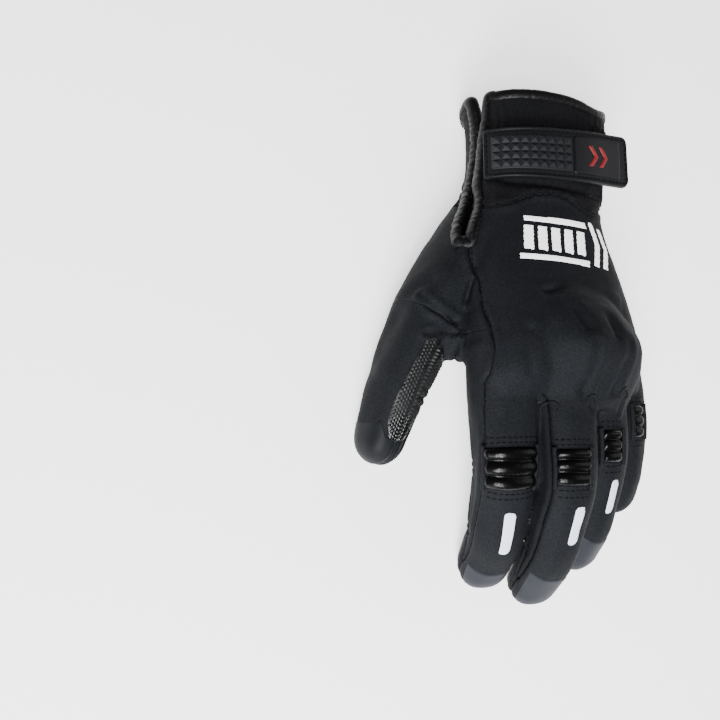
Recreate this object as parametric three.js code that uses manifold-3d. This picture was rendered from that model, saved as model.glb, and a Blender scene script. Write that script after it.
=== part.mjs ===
// A softshell riding glove for the left hand, lying palm down with the fingers relaxed.
// Millimetres, +Z up, fingers towards -Y, cuff towards +Y, thumb at -X, little finger at +X.
// The panels are cut from one hollow hand: outer surface less inner surface, split along the seams.
import * as THREE from 'three';
import { mergeVertices } from 'three/addons/utils/BufferGeometryUtils.js';
import Module from 'manifold-3d';

// Driving sizes
const WALL = 2;
const SEAM_GAP = 0.3;
const PATCH_LIFT = 0.45;
const PATCH_THICKNESS = 0.9;
const CURVE_LIFT = 0.8;
const TIP_END = 0.6;
const SECTION_POWER = 2.5;
const DOME_POWER = 2.2;
const BEND_BLEND = 9;
const CUFF_Y = 102;
const WRIST_Y = 77;
const BINDING_RADIUS = 1.7;
const BINDING_CLEARANCE = 0.4;
const FLOOR_Z = 1.4;
const FAR = 200;

// The hand's cross-sections from the cuff to the knuckles.
// x and z place the centre, half is the half width, roll lowers the little finger's side.
const PALM = [
  { y: 102, x: 3.5, z: 22, half: 30.6, up: 21, down: 21, roll: 0 },
  { y: 80, x: 2, z: 22, half: 29.4, up: 21, down: 21, roll: 0 },
  { y: 54, x: -2.6, z: 24, half: 31.8, up: 21, down: 22, roll: 4 },
  { y: 28, x: -1.2, z: 29, half: 36.3, up: 22, down: 23, roll: 8 },
  { y: 2, x: 1, z: 34, half: 40, up: 22, down: 20, roll: 14 },
  { y: -14, x: 1.5, z: 36, half: 41.5, up: 18, down: 15, roll: 17 },
  { y: -22, x: 2, z: 36, half: 40, up: 12, down: 12, roll: 18 },
];
const PALM_STEPS = [102, 80, 54, 34, 16, 2, -10, -22];
const PALM_STEPS_INNER = [102, 54, 16, -10, -22];

// The padded dome over the knuckles.
const DOME = [
  { y: 27, x: 1, z: 42, half: 13, up: 9, down: 8, roll: 11 },
  { y: 20, x: 2, z: 43, half: 19, up: 17, down: 8, roll: 12 },
  { y: 10, x: 3.5, z: 44, half: 23, up: 21, down: 8, roll: 13 },
  { y: -2, x: 5.5, z: 44, half: 25.5, up: 21, down: 8, roll: 15 },
  { y: -14, x: 7.5, z: 43, half: 25.5, up: 17, down: 8, roll: 16 },
  { y: -26, x: 7.5, z: 41, half: 22, up: 11, down: 8, roll: 17 },
];
const DOME_STEPS = [27, 21, 10, -6, -26];
const DOME_STEPS_INNER = [27, 13, -13, -26];

// Digits: root of the centreline, bone lengths, pitch below level of each bone, yaw towards +X
// at the root and the tip, roll of the back of the finger, half width at the root and the tip.
const DIGITS = {
  index: {
    root: [-26.2, -3, 42], bones: [46, 29, 28], pitch: [1, 29, 52], yaw: [0, 8.6], roll: -4, half: [12.8, 9.5],
  },
  middle: {
    root: [-1.5, -5, 45.5], bones: [50, 30, 29], pitch: [2, 31, 53], yaw: [1, 1.5], roll: 8, half: [12, 9.5],
  },
  ring: {
    root: [19, -3, 36], bones: [41, 27, 25], pitch: [0, 26, 46], yaw: [2, 1], roll: 22, half: [11.2, 9],
  },
  little: {
    root: [35.2, 9, 24.5], bones: [40, 20.5, 19], pitch: [-2, 16, 34], yaw: [5, 1], roll: 36, half: [10.6, 8.8],
  },
  thumb: {
    root: [-17, 53, 25], bones: [47, 36, 31.6], pitch: [1, 8, 16], yaw: [-42, -12], roll: -62, half: [19, 9.2],
  },
};
// The web between the thumb and the index finger, shaped as a digit is.
const THUMB_WEB = {
  root: [-22, 34, 29], bones: [15, 15, 15], pitch: [0, -1, -3], yaw: [-27, -25], roll: -20, half: [14, 8],
};
const DIGIT_FLAT = 0.92;
const TIP_DOME = 1.1;
const RING_SPACING = 4;
const OUTER = {
  palmSides: 20,
  domeSides: 16,
  digitSides: 12,
  palmSteps: PALM_STEPS,
  domeSteps: DOME_STEPS,
  shares: [0, 0.42, 0.53, 0.74, 0.86, 1],
  turns: [0.55, 0.87],
};
const INNER = {
  palmSides: 12,
  domeSides: 8,
  digitSides: 8,
  palmSteps: PALM_STEPS_INNER,
  domeSteps: DOME_STEPS_INNER,
  shares: [0, 0.44, 0.58, 0.8, 1],
  turns: [0.7],
};

// Side strips between the back and the palm of each digit: start along the digit on its -X and +X side,
// half height at the start, halfway and at the tip.
const SIDES = {
  index: { from: [-5, 17], height: [7, 4.5, 0.15] },
  middle: { from: [14, 14], height: [5, 4.5, 0.15] },
  ring: { from: [16, 16], height: [5, 4.5, 0.15] },
  little: { from: [27, 3], height: [5, 4, 0.15] },
};

// The wrist slit's two edges: height of the piping's centre above the section's centre.
const SLIT = [
  { y: 102.6, back: 10.9, palm: 1 },
  { y: 94, back: 9.2, palm: 2.1 },
  { y: 84, back: 7.6, palm: 2 },
  { y: 74, back: 7.8, palm: 1.7 },
  { y: 66, back: 8.8, palm: 2.4 },
  { y: 56, back: 11.4, palm: 5.6 },
  { y: 47, back: 13.6, palm: 8.1 },
  { y: 41, back: 13.9, palm: 9.7 },
  { y: 38.4, back: 13.2, palm: 10.8 },
];

// The seam between cuff and hand, by angle around the wrist: 0 is the little finger's side, 90 the back.
const CUFF_SEAM = [
  { angle: 0, y: 64 },
  { angle: 45, y: 54 },
  { angle: 90, y: 61 },
  { angle: 135, y: 56 },
  { angle: 180, y: 64 },
  { angle: 225, y: 79 },
  { angle: 270, y: 81 },
  { angle: 315, y: 77 },
  { angle: 360, y: 64 },
];

// Outlines in plan, x and y.
const THENAR_OUTLINE = [[-80, 110], [-36, 110], [-36, 44], [-38, 32], [-37, 20], [-35, 10], [-34, 2], [-37, -6],
  [-80, -6]];
const PALM_GRIP_OUTLINE = [[-24, -13], [-9, -12], [5, -10], [18, -8], [30, -3], [31, 30], [7, 34], [4, 54],
  [-12, 48], [-27, 34], [-33, 16], [-30, -2]];
const PALM_NOTCH = { x: -19, y: 8, radius: 5 };
const HEEL_OUTLINE = [[8, 38], [25, 34], [14, 72]];
const SIDE_LABEL = { y: [43, 61], angle: [-34, -12], thickness: 0.6 };

// The seam between back and palm on each side of the hand.
const LITTLE_SEAM = [
  { y: 122, z: 20 },
  { y: 54, z: 20 },
  { y: 28, z: 21 },
  { y: 2, z: 22 },
  { y: -6, z: 22 },
];
const THUMB_SEAM = [
  { y: 80, z: 24 },
  { y: 54, z: 25 },
  { y: 20, z: 24 },
  { y: 6, z: 31 },
  { y: -2, z: 38 },
];
const LITTLE_SEAM_SPAN = [15, 80];
const THUMB_SEAM_SPAN = [-90, -20];
const SLIT_SPAN = [-90, -18];

// The strips reach further sideways where they cross the web between two digits.
const WEB_LENGTH = 8;
const WEB_REACH = 2.5;
const STRIP_REACH = 0.86;
const STRIP_OVERRUN = 1.1;
const STRIP_SHARES = [0.46, 0.78, 1];
const STRIP_TAPER_END = 0.92;
const STRIP_OVERLAP = 0.05;
const THUMB_BASE = 53;
const THUMB_CUT = 0.6;
const THUMB_SLAB_START = 4;
const CUFF_OVERRUN = 8;
const CUFF_BLOCK = { sides: 32, inner: 0.6, outer: 1.7, past: 30 };
const PALM_GRIP_TOP = 31;
const HEEL_TOP = 20;
const BELOW = -20;
const ABOVE = 90;

// The piped edge, by angle around the cuff's mouth.
const BINDING_ARC = [154, -182];
const BINDING_ARC_STEPS = 30;
const BINDING_SIDES = 6;
const BINDING_STEPS = 46;
const SLIT_END = 3;

// Ribbed guards on the finger joints: place along the digit, three beads each.
const RIBS = {
  index: { middle: 46.5, arc: [42, 147] },
  middle: { middle: 43, arc: [73, 144] },
  ring: { middle: 35.7, arc: [86, 144] },
  little: { middle: 37.3, arc: [50, 120] },
};
const RIB_LENGTH = 13.6;
const RIB_COUNT = 3;
const RIB_BACKING = 0.6;
const RIB_HEIGHT = 1.8;
const REFLECTORS = {
  index: { from: 60, to: 76 },
  middle: { from: 54.5, to: 70.5 },
  ring: { from: 47, to: 60 },
};
const REFLECTOR_ARC = [80, 99];
const TIP_CAPS = { index: 17, middle: 23, ring: 21, thumb: 16 };
const TIP_CAP_ARC = [25, 155];
const TOUCH_PADS = { index: 24, middle: 24, thumb: 30 };
const TOUCH_PAD_ARC = [205, 335];
const THUMB_GRIP = { from: 66.5, to: 83, arc: [-50, 30] };

// The wrist strap, measured from its end at the slit.
const STRAP = { from: 150, width: 21, thickness: 2, lift: 3.1, wrap: 50, tab: 18, tilt: -1.5, end: 4, taper: 0.28 };
const STUDS = { from: 4, columns: 9, rows: 4, pitch: 4, base: 3.7, height: 1.5, plate: 0.6 };
const STUD_ROOT = 0.3;
const STRAP_LABEL = { from: 41.5, length: 21, width: 17, thickness: 0.7 };
const LOOP_PATCH = { angle: [18, 62], y: [63, 95], thickness: 1 };

const wasm = await Module();
wasm.setup();

const rad = THREE.MathUtils.degToRad;
const lerp = THREE.MathUtils.lerp;
const vec = (x, y, z) => new THREE.Vector3(x, y, z);

// A closed geometry with shared vertices, faces pointing out.
function closed(geometry) {
  let shape = geometry.clone();
  for (const name of Object.keys(shape.attributes)) {
    if (name !== 'position') shape.deleteAttribute(name);
  }
  shape = mergeVertices(shape, 1e-4);
  const at = shape.attributes.position;
  const faces = [];
  let volume = 0;
  for (let i = 0; i < shape.index.count; i += 3) {
    const [a, b, c] = [shape.index.getX(i), shape.index.getX(i + 1), shape.index.getX(i + 2)];
    if (a === b || b === c || c === a) continue;
    faces.push([a, b, c]);
    const [p, q, r] = [a, b, c].map((k) => vec(at.getX(k), at.getY(k), at.getZ(k)));
    volume += p.dot(q.cross(r)) / 6;
  }
  shape.setIndex(faces.flatMap(([a, b, c]) => (volume > 0 ? [a, b, c] : [a, c, b])));
  shape.clearGroups();
  return shape;
}

function solid(geometry) {
  const shape = closed(geometry);
  return new wasm.Manifold(new wasm.Mesh({
    numProp: 3,
    vertProperties: new Float32Array(shape.attributes.position.array),
    triVerts: new Uint32Array(shape.index.array),
  }));
}

function geometryOf(manifold) {
  const mesh = manifold.getMesh();
  const shape = new THREE.BufferGeometry();
  shape.setAttribute('position', new THREE.BufferAttribute(new Float32Array(mesh.vertProperties), 3));
  shape.setIndex(new THREE.BufferAttribute(new Uint32Array(mesh.triVerts), 1));
  return shape;
}

function joined(parts) {
  return parts.reduce((whole, part) => whole.add(part));
}

function largest(manifold) {
  const pieces = manifold.decompose();
  return pieces.reduce((best, piece) => (piece.volume() > best.volume() ? piece : best));
}

// Moves each vertex of a geometry to place(x, y, z).
function bend(geometry, place) {
  const at = geometry.attributes.position;
  for (let i = 0; i < at.count; i += 1) {
    const p = place(at.getX(i), at.getY(i), at.getZ(i));
    at.setXYZ(i, p.x, p.y, p.z);
  }
  return geometry;
}

// A sphere's grid pulled over the given rings; its poles become the two end caps.
function loft(rings) {
  const sides = rings[0].length;
  const middle = (ring) => ring.reduce((sum, p) => sum.add(p), vec(0, 0, 0)).divideScalar(ring.length);
  const shape = new THREE.SphereGeometry(1, sides, rings.length + 1);
  const at = shape.attributes.position;
  for (let i = 0; i < at.count; i += 1) {
    const row = Math.floor(i / (sides + 1));
    const column = i % (sides + 1);
    const ring = rings[Math.min(Math.max(row - 1, 0), rings.length - 1)];
    const pole = row === 0 || row === rings.length + 1;
    const p = pole ? middle(ring) : ring[column % sides];
    at.setXYZ(i, p.x, p.y, p.z);
  }
  return shape;
}

function prism(outline, low, high) {
  const shape = new THREE.Shape(outline.map(([x, y]) => new THREE.Vector2(x, y)));
  const block = new THREE.ExtrudeGeometry(shape, { depth: high - low, bevelEnabled: false });
  return block.translate(0, 0, low);
}

// A prism along X from an outline given as y and z.
function sidePrism(outline, low, high) {
  return bend(prism(outline, low, high), (x, y, z) => vec(z, x, y));
}

// All columns of a table on a smooth curve through its rows, where column key is at.
function sample(table, key, at) {
  const rising = table[table.length - 1][key] > table[0][key];
  const rows = rising ? table : [...table].reverse();
  const last = rows.length - 1;
  const value = Math.min(Math.max(at, rows[0][key]), rows[last][key]);
  let i = 0;
  while (i < last - 1 && rows[i + 1][key] < value) i += 1;
  const span = rows[i + 1][key] - rows[i][key];
  const t = (value - rows[i][key]) / span;
  const slope = (column, k) => {
    const before = rows[Math.max(k - 1, 0)];
    const after = rows[Math.min(k + 1, last)];
    return (after[column] - before[column]) / (after[key] - before[key]);
  };
  const result = {};
  for (const column of Object.keys(rows[0])) {
    const [a, b] = [rows[i][column], rows[i + 1][column]];
    const [m, n] = [slope(column, i) * span, slope(column, i + 1) * span];
    result[column] = (2 * t ** 3 - 3 * t ** 2 + 1) * a + (t ** 3 - 2 * t ** 2 + t) * m
      + (3 * t ** 2 - 2 * t ** 3) * b + (t ** 3 - t ** 2) * n;
  }
  result[key] = at;
  return result;
}

function rounded(angle, half, up, down) {
  const c = Math.cos(angle);
  const s = Math.sin(angle);
  const power = 2 / SECTION_POWER;
  return [half * Math.sign(c) * Math.abs(c) ** power, (s > 0 ? up : down) * Math.sign(s) * Math.abs(s) ** power];
}

// A point around the hand: y along it, angle from the little finger's side over the back.
function handPoint(table, y, angle, lift) {
  const row = sample(table, 'y', y);
  const [u, n] = rounded(angle, row.half + lift, row.up + lift, row.down + lift);
  const roll = rad(row.roll);
  return vec(row.x + u * Math.cos(roll) + n * Math.sin(roll), y, row.z - u * Math.sin(roll) + n * Math.cos(roll));
}

function handLoft(table, steps, lift, sides, overrun) {
  const last = steps.length - 1;
  return loft(steps.map((y, i) => {
    const shift = (i === 0 ? overrun : 0) + (i === last ? -lift : 0);
    return Array.from({ length: sides }, (_, k) => {
      const p = handPoint(table, y, (2 * Math.PI * k) / sides, lift);
      return p.setY(y + shift);
    });
  }));
}

const CENTRELINE_STEPS = 80;
function centreline(digit) {
  const [first, second, third] = digit.bones;
  const length = first + second + third;
  const ease = (t) => THREE.MathUtils.smoothstep(t, 0, 1);
  const step = length / CENTRELINE_STEPS;
  const at = vec(...digit.root);
  const line = [];
  for (let i = 0; i <= CENTRELINE_STEPS; i += 1) {
    const s = i * step;
    const pitch = rad(digit.pitch[0]
      + (digit.pitch[1] - digit.pitch[0]) * ease((s - first + BEND_BLEND) / (2 * BEND_BLEND))
      + (digit.pitch[2] - digit.pitch[1]) * ease((s - first - second + BEND_BLEND) / (2 * BEND_BLEND)));
    const yaw = rad(lerp(digit.yaw[0], digit.yaw[1], ease(s / length)));
    const along = vec(Math.cos(pitch) * Math.sin(yaw), -Math.cos(pitch) * Math.cos(yaw), -Math.sin(pitch));
    const across = vec(Math.cos(yaw), Math.sin(yaw), 0);
    const upwards = vec(0, 0, 0).crossVectors(along, across);
    if (i > 0) at.addScaledVector(along, step);
    const roll = rad(digit.roll);
    const side = across.clone().multiplyScalar(Math.cos(roll)).addScaledVector(upwards, -Math.sin(roll));
    const back = upwards.clone().multiplyScalar(Math.cos(roll)).addScaledVector(across, Math.sin(roll));
    line.push({ s, at: at.clone(), along, side, back });
  }
  return { length, line };
}
for (const digit of [...Object.values(DIGITS), THUMB_WEB]) Object.assign(digit, centreline(digit));

function frameOf(digit, s) {
  const x = Math.min(Math.max(s / digit.length, 0), 1) * CENTRELINE_STEPS;
  const i = Math.min(Math.floor(x), CENTRELINE_STEPS - 1);
  const [a, b] = [digit.line[i], digit.line[i + 1]];
  const mix = (name) => a[name].clone().lerp(b[name], x - i);
  const frame = { at: mix('at'), along: mix('along').normalize(), side: mix('side'), back: mix('back') };
  frame.at.addScaledVector(frame.along, Math.min(s, 0) + Math.max(s - digit.length, 0));
  return frame;
}

// A point on a digit: s along its centreline, angle from its +X side over its back.
function digitPoint(digit, s, angle, lift) {
  const dome = digit.half[1] * TIP_DOME;
  const t = Math.min(Math.max((s - digit.length + dome) / dome, 0), 1);
  const narrow = (1 - t ** DOME_POWER) ** (1 / DOME_POWER);
  const half = lerp(digit.half[0], digit.half[1], THREE.MathUtils.clamp(s / digit.length, 0, 1));
  const frame = frameOf(digit, s + lift * t);
  const high = half * DIGIT_FLAT + lift;
  const [u, n] = rounded(angle, (half + lift) * narrow, high * narrow, high * narrow);
  return frame.at.addScaledVector(frame.side, u).addScaledVector(frame.back, n);
}

function digitLoft(digit, lift, grid, from) {
  const dome = digit.half[1] * TIP_DOME;
  const straight = digit.length - dome;
  const kept = grid.shares.map((t) => straight * t).filter((s) => s > from + RING_SPACING);
  const stations = [from, ...kept, ...grid.turns.map((t) => straight + dome * t)];
  const rings = stations.map((s) => Array.from({ length: grid.digitSides },
    (_, k) => digitPoint(digit, s, (2 * Math.PI * k) / grid.digitSides, lift)));
  const tip = digitPoint(digit, digit.length, 0, lift);
  return loft([...rings, rings[0].map(() => tip.clone())]);
}

// The whole hand as one solid, grown by lift; overrun carries it out through the cuff.
function hand(lift, grid, overrun) {
  const parts = [solid(handLoft(PALM, grid.palmSteps, lift, grid.palmSides, overrun))];
  parts.push(solid(handLoft(DOME, grid.domeSteps, lift, grid.domeSides, lift)));
  for (const digit of [...Object.values(DIGITS), THUMB_WEB]) parts.push(solid(digitLoft(digit, lift, grid, 0)));
  return joined(parts);
}

const outer = hand(0, OUTER, 0);
const inner = hand(-WALL, INNER, CUFF_OVERRUN);
const skinBase = hand(PATCH_LIFT, OUTER, 0);
const skinTop = hand(PATCH_LIFT + PATCH_THICKNESS, OUTER, 0);
const skin = skinTop.subtract(skinBase);
const floor = solid(prism([[-FAR, -FAR], [FAR, -FAR], [FAR, FAR], [-FAR, FAR]], -FAR, FLOOR_Z));

const outerMesh = new THREE.Mesh(geometryOf(outer));
const caster = new THREE.Raycaster();

// The hand's outer surface seen from the thumb's side, at a given y and z.
function thumbSide(y, z) {
  caster.set(vec(-FAR, y, z), vec(1, 0, 0));
  return caster.intersectObject(outerMesh)[0].point;
}

// Outline of the slit in y and z, widened by reach all round.
function slitOutline(reach) {
  const height = (row, column) => sample(PALM, 'y', row.y).z + row[column];
  const back = SLIT.map((row) => [row.y, height(row, 'back') + reach]);
  const palm = SLIT.map((row) => [row.y, height(row, 'palm') - reach]);
  const end = SLIT[SLIT.length - 1];
  const middle = (height(end, 'back') + height(end, 'palm')) / 2;
  const mouth = CUFF_Y + CUFF_OVERRUN;
  const bottom = [end.y - reach - SLIT_END, middle];
  return [[mouth, back[0][1]], ...back, bottom, ...palm.reverse(), [mouth, palm[palm.length - 1][1]]];
}

const slit = solid(sidePrism(slitOutline(BINDING_RADIUS + BINDING_CLEARANCE), ...SLIT_SPAN));

// A block around the wrist beyond the cuff's seam, moved along by shift.
function cuffBlock(shift) {
  const { sides, inner: near, outer: far, past } = CUFF_BLOCK;
  const { x, z, half, up } = PALM[0];
  const ring = (scale, fixedY) => Array.from({ length: sides }, (_, k) => {
    const angle = (2 * Math.PI * k) / sides;
    const y = fixedY ?? sample(CUFF_SEAM, 'angle', THREE.MathUtils.radToDeg(angle)).y + shift;
    return vec(x + Math.cos(angle) * half * scale, y, z + Math.sin(angle) * up * scale);
  });
  return solid(loft([ring(near), ring(far), ring(far, CUFF_Y + past)]));
}

// Half a slab through a digit, on one side of its centreline, from one station to a share of its length.
function sideSlab(digit, side, from, height, extra, reach) {
  const webEnd = from + WEB_LENGTH + extra;
  const further = STRIP_SHARES.filter((t) => digit.length * t > webEnd + RING_SPACING && t < reach);
  const stations = [from - extra, webEnd, webEnd + SEAM_GAP, ...further.map((t) => digit.length * t)];
  stations.push(digit.length * reach);
  const rings = stations.map((s) => {
    const share = THREE.MathUtils.clamp(s / digit.length, 0, 1);
    const taper = THREE.MathUtils.clamp((share - 0.5) / (STRIP_TAPER_END - 0.5), 0, 1);
    const profile = share < 0.5 ? lerp(height[0], height[1], share * 2) : lerp(height[1], height[2], taper);
    const wide = lerp(digit.half[0], digit.half[1], share) + (s > webEnd ? SEAM_GAP : WEB_REACH) + extra;
    const high = profile + extra;
    const frame = frameOf(digit, s);
    const corner = (u, n) => frame.at.clone().addScaledVector(frame.side, u).addScaledVector(frame.back, n);
    const [near, far] = side < 0 ? [-wide, STRIP_OVERLAP] : [-STRIP_OVERLAP, wide];
    return [corner(near, -high), corner(far, -high), corner(far, high), corner(near, high)];
  });
  return solid(loft(rings));
}

function sideSlabs(extra, reach) {
  return joined(Object.entries(SIDES).flatMap(([name, side]) => [
    sideSlab(DIGITS[name], -1, side.from[0], side.height, extra, reach),
    sideSlab(DIGITS[name], 1, side.from[1], side.height, extra, reach),
  ]));
}

// A thin ribbon along X at a seam's heights.
function seamRibbon(seam, span) {
  const above = seam.map(({ y, z }) => [y, z + SEAM_GAP / 2]);
  const below = seam.map(({ y, z }) => [y, z - SEAM_GAP / 2]);
  return solid(sidePrism([...above, ...below.reverse()], ...span));
}

const shell = outer.subtract(inner).subtract(slit).subtract(floor);
const littleSeam = seamRibbon(LITTLE_SEAM, LITTLE_SEAM_SPAN);
const thumbSeam = seamRibbon(THUMB_SEAM, THUMB_SEAM_SPAN);

// The pieces of a cut shell that are real panels, largest first; slivers left by the cuts are dropped.
function panels(manifold, count) {
  return manifold.decompose().sort((a, b) => b.volume() - a.volume()).slice(0, count);
}

// Orders pieces by the middle of their boxes along one axis.
function along(axis, pieces) {
  const middle = (piece) => piece.boundingBox().min[axis] + piece.boundingBox().max[axis];
  return [...pieces].sort((a, b) => middle(a) - middle(b));
}

const cuffShell = shell.intersect(cuffBlock(SEAM_GAP / 2)).subtract(littleSeam);
const [cuffPalm, cuffBack] = along(2, panels(cuffShell, 2));

const handShell = shell.subtract(cuffBlock(-SEAM_GAP / 2));
const thumbTube = solid(digitLoft(DIGITS.thumb, THUMB_CUT, OUTER, THUMB_BASE));
const thumbTubeWide = solid(digitLoft(DIGITS.thumb, THUMB_CUT + SEAM_GAP, OUTER, THUMB_BASE - SEAM_GAP));
const thumbSlabHeight = [SEAM_GAP / 2, SEAM_GAP / 2, SEAM_GAP / 2];
const thumbSlab = joined([-1, 1].map((side) => (
  sideSlab(DIGITS.thumb, side, THUMB_BASE - THUMB_SLAB_START, thumbSlabHeight, 0, STRIP_OVERRUN))));
const thumbShell = largest(handShell.intersect(thumbTube));
const [thumbBack, thumbPalm] = along(0, panels(thumbShell.subtract(thumbSlab), 2));

const palmAndFingers = handShell.subtract(thumbTubeWide);
const [indexSide, indexMiddle, middleRing, ringLittle, littleSide] = along(0,
  panels(palmAndFingers.intersect(sideSlabs(0, STRIP_REACH)), 5));
const halves = palmAndFingers.subtract(sideSlabs(SEAM_GAP, STRIP_OVERRUN)).subtract(littleSeam).subtract(thumbSeam);
const [palmPanel, backHalf] = along(2, panels(halves, 2));
const thenarBlock = (gap) => solid(prism(THENAR_OUTLINE.map(([x, y]) => [x + gap, y]), BELOW, ABOVE));
const thenarPanel = largest(backHalf.intersect(thenarBlock(-SEAM_GAP / 2)));
const backPanel = largest(backHalf.subtract(thenarBlock(SEAM_GAP / 2)));

// A patch in plan, laid on the palm.
function palmPatch(outline, top) {
  return largest(skin.intersect(solid(prism(outline, BELOW, top))).subtract(floor));
}

function gripPatch() {
  const notch = new THREE.CylinderGeometry(PALM_NOTCH.radius, PALM_NOTCH.radius, ABOVE, 16).rotateX(Math.PI / 2)
    .translate(PALM_NOTCH.x, PALM_NOTCH.y, 0);
  return palmPatch(PALM_GRIP_OUTLINE, PALM_GRIP_TOP).subtract(solid(notch));
}

// A patch on a digit between two stations and two angles; high may vary along and across it.
function digitPatch(digit, from, to, arc, lengthwise, crosswise, high, base = PATCH_LIFT) {
  return closed(bend(new THREE.BoxGeometry(1, 1, 1, lengthwise, crosswise, 1), (x, y, z) => {
    const [u, v] = [x + 0.5, y + 0.5];
    const angle = lerp(arc[0], arc[1], v);
    return digitPoint(digit, lerp(from, to, u), rad(angle), z > 0 ? high(u) : base);
  }));
}

function flatTop() {
  return PATCH_LIFT + PATCH_THICKNESS;
}

function curveTop() {
  return CURVE_LIFT + PATCH_THICKNESS;
}

// Three beads across the joint on one backing.
function ribs(name) {
  const { middle, arc } = RIBS[name];
  const [from, to] = [middle - RIB_LENGTH / 2, middle + RIB_LENGTH / 2];
  const high = (u) => PATCH_LIFT + RIB_BACKING + RIB_HEIGHT * Math.abs(Math.sin(RIB_COUNT * Math.PI * u));
  return digitPatch(DIGITS[name], from, to, arc, RIB_COUNT * 3, 4, high);
}

// A strip with round ends down the back of a fingertip.
function reflector(name) {
  const { from, to } = REFLECTORS[name];
  const middle = (REFLECTOR_ARC[0] + REFLECTOR_ARC[1]) / 2;
  const reach = (REFLECTOR_ARC[1] - REFLECTOR_ARC[0]) / 2;
  return closed(bend(new THREE.BoxGeometry(1, 1, 1, 6, 2, 1), (x, y, z) => {
    const end = Math.max(0, (Math.abs(2 * x) - 0.6) / 0.4);
    const share = Math.max(0.3, Math.sqrt(1 - end ** 2));
    const angle = middle + 2 * y * reach * share;
    return digitPoint(DIGITS[name], lerp(from, to, x + 0.5), rad(angle), z > 0 ? flatTop() : PATCH_LIFT);
  }));
}

function tipCap(name) {
  const digit = DIGITS[name];
  return digitPatch(digit, digit.length - TIP_CAPS[name], digit.length - TIP_END, TIP_CAP_ARC, 6, 5,
    curveTop, CURVE_LIFT);
}

function touchPad(name) {
  const digit = DIGITS[name];
  return digitPatch(digit, digit.length - TOUCH_PADS[name], digit.length - TIP_END, TOUCH_PAD_ARC, 6, 5,
    curveTop, CURVE_LIFT);
}

// The wrist strap's line: round the wrist from the slit, then straight out as a free tab.
function strapLine() {
  const points = [];
  const reach = STRAP.lift + STRAP.thickness / 2;
  let length = 0;
  for (let angle = STRAP.from; length < STRAP.wrap; angle -= 2) {
    const p = handPoint(PALM, WRIST_Y, rad(angle), reach);
    if (points.length) length += p.distanceTo(points[points.length - 1]);
    points.push(p);
  }
  const last = points[points.length - 1];
  const ahead = last.clone().sub(points[points.length - 2]).normalize();
  points.push(last.clone().addScaledVector(ahead, STRAP.tab));
  return new THREE.CatmullRomCurve3(points, false, 'centripetal');
}
const strapCurve = strapLine();
const strapLength = strapCurve.getLength();

// A point on the strap: along it, across it towards the cuff's edge, and out from its middle.
function strapPoint(run, across, out) {
  const t = THREE.MathUtils.clamp(run / strapLength, 0, 1);
  const p = strapCurve.getPointAt(t);
  const ahead = strapCurve.getTangentAt(t);
  const outward = vec(-ahead.z, 0, ahead.x);
  const drop = (p.x - PALM[1].x) * Math.tan(rad(STRAP.tilt));
  return p.addScaledVector(outward, out).add(vec(0, across - drop, 0));
}

function strapPlate(from, to, width, low, high, pieces, endRound) {
  return bend(new THREE.BoxGeometry(1, 1, 1, pieces, 1, 1), (x, y, z) => {
    const t = lerp(from, to, x + 0.5);
    const end = Math.max(0, (t - to + endRound) / Math.max(endRound, 1));
    const share = 1 - STRAP.taper * end ** 2;
    return strapPoint(t, y * width * share, z > 0 ? high : low);
  });
}

function strap() {
  const half = STRAP.thickness / 2;
  return closed(strapPlate(0, strapLength, STRAP.width, -half, half, 20, STRAP.end));
}

function studPanel() {
  const low = STRAP.thickness / 2 + SEAM_GAP;
  const high = low + STUDS.plate;
  const length = STUDS.columns * STUDS.pitch;
  const plate = solid(strapPlate(STUDS.from, STUDS.from + length, STUDS.rows * STUDS.pitch, low, high, 12, 0));
  const studs = [];
  for (let i = 0; i < STUDS.columns; i += 1) {
    for (let j = 0; j < STUDS.rows; j += 1) {
      const stud = new THREE.ConeGeometry(STUDS.base * Math.SQRT1_2, STUDS.height + STUD_ROOT, 4);
      stud.rotateY(Math.PI / 4).rotateX(Math.PI / 2).translate(0, 0, (STUDS.height - STUD_ROOT) / 2);
      const t = STUDS.from + (i + 0.5) * STUDS.pitch;
      const v = (j + 0.5 - STUDS.rows / 2) * STUDS.pitch;
      studs.push(solid(bend(stud, (x, y, z) => strapPoint(t + x, v + y, high + z))));
    }
  }
  return geometryOf(joined([plate, ...studs]));
}

function strapLabel() {
  const low = STRAP.thickness / 2 + SEAM_GAP;
  const to = STRAP_LABEL.from + STRAP_LABEL.length;
  return closed(strapPlate(STRAP_LABEL.from, to, STRAP_LABEL.width, low, low + STRAP_LABEL.thickness, 6, 0));
}

// A patch on the hand between two places along it and two angles round it.
function handPatch(patch, lengthwise, crosswise) {
  return closed(bend(new THREE.BoxGeometry(1, 1, 1, lengthwise, crosswise, 1), (x, y, z) => {
    const angle = rad(lerp(patch.angle[0], patch.angle[1], y + 0.5));
    const lift = CURVE_LIFT + (z > 0 ? patch.thickness : 0);
    return handPoint(PALM, lerp(patch.y[0], patch.y[1], x + 0.5), angle, lift);
  }));
}

// The piped edge: round the cuff, down one side of the slit and up the other.
function bindingPath() {
  const points = [];
  const edge = CUFF_Y + BINDING_RADIUS + BINDING_CLEARANCE;
  for (let i = 0; i <= BINDING_ARC_STEPS; i += 1) {
    const angle = rad(lerp(BINDING_ARC[0], BINDING_ARC[1], i / BINDING_ARC_STEPS));
    points.push(handPoint(PALM, CUFF_Y, angle, -WALL / 2).setY(edge));
  }
  const place = (row, column) => {
    const z = sample(PALM, 'y', Math.min(row.y, CUFF_Y)).z + row[column];
    return thumbSide(Math.min(row.y, CUFF_Y - 1), z).setY(row.y).add(vec(WALL / 2, 0, 0));
  };
  const rows = SLIT.slice(1);
  points.push(...rows.map((row) => place(row, 'palm')), ...rows.reverse().map((row) => place(row, 'back')));
  return new THREE.CatmullRomCurve3(points, true, 'centripetal');
}

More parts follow.
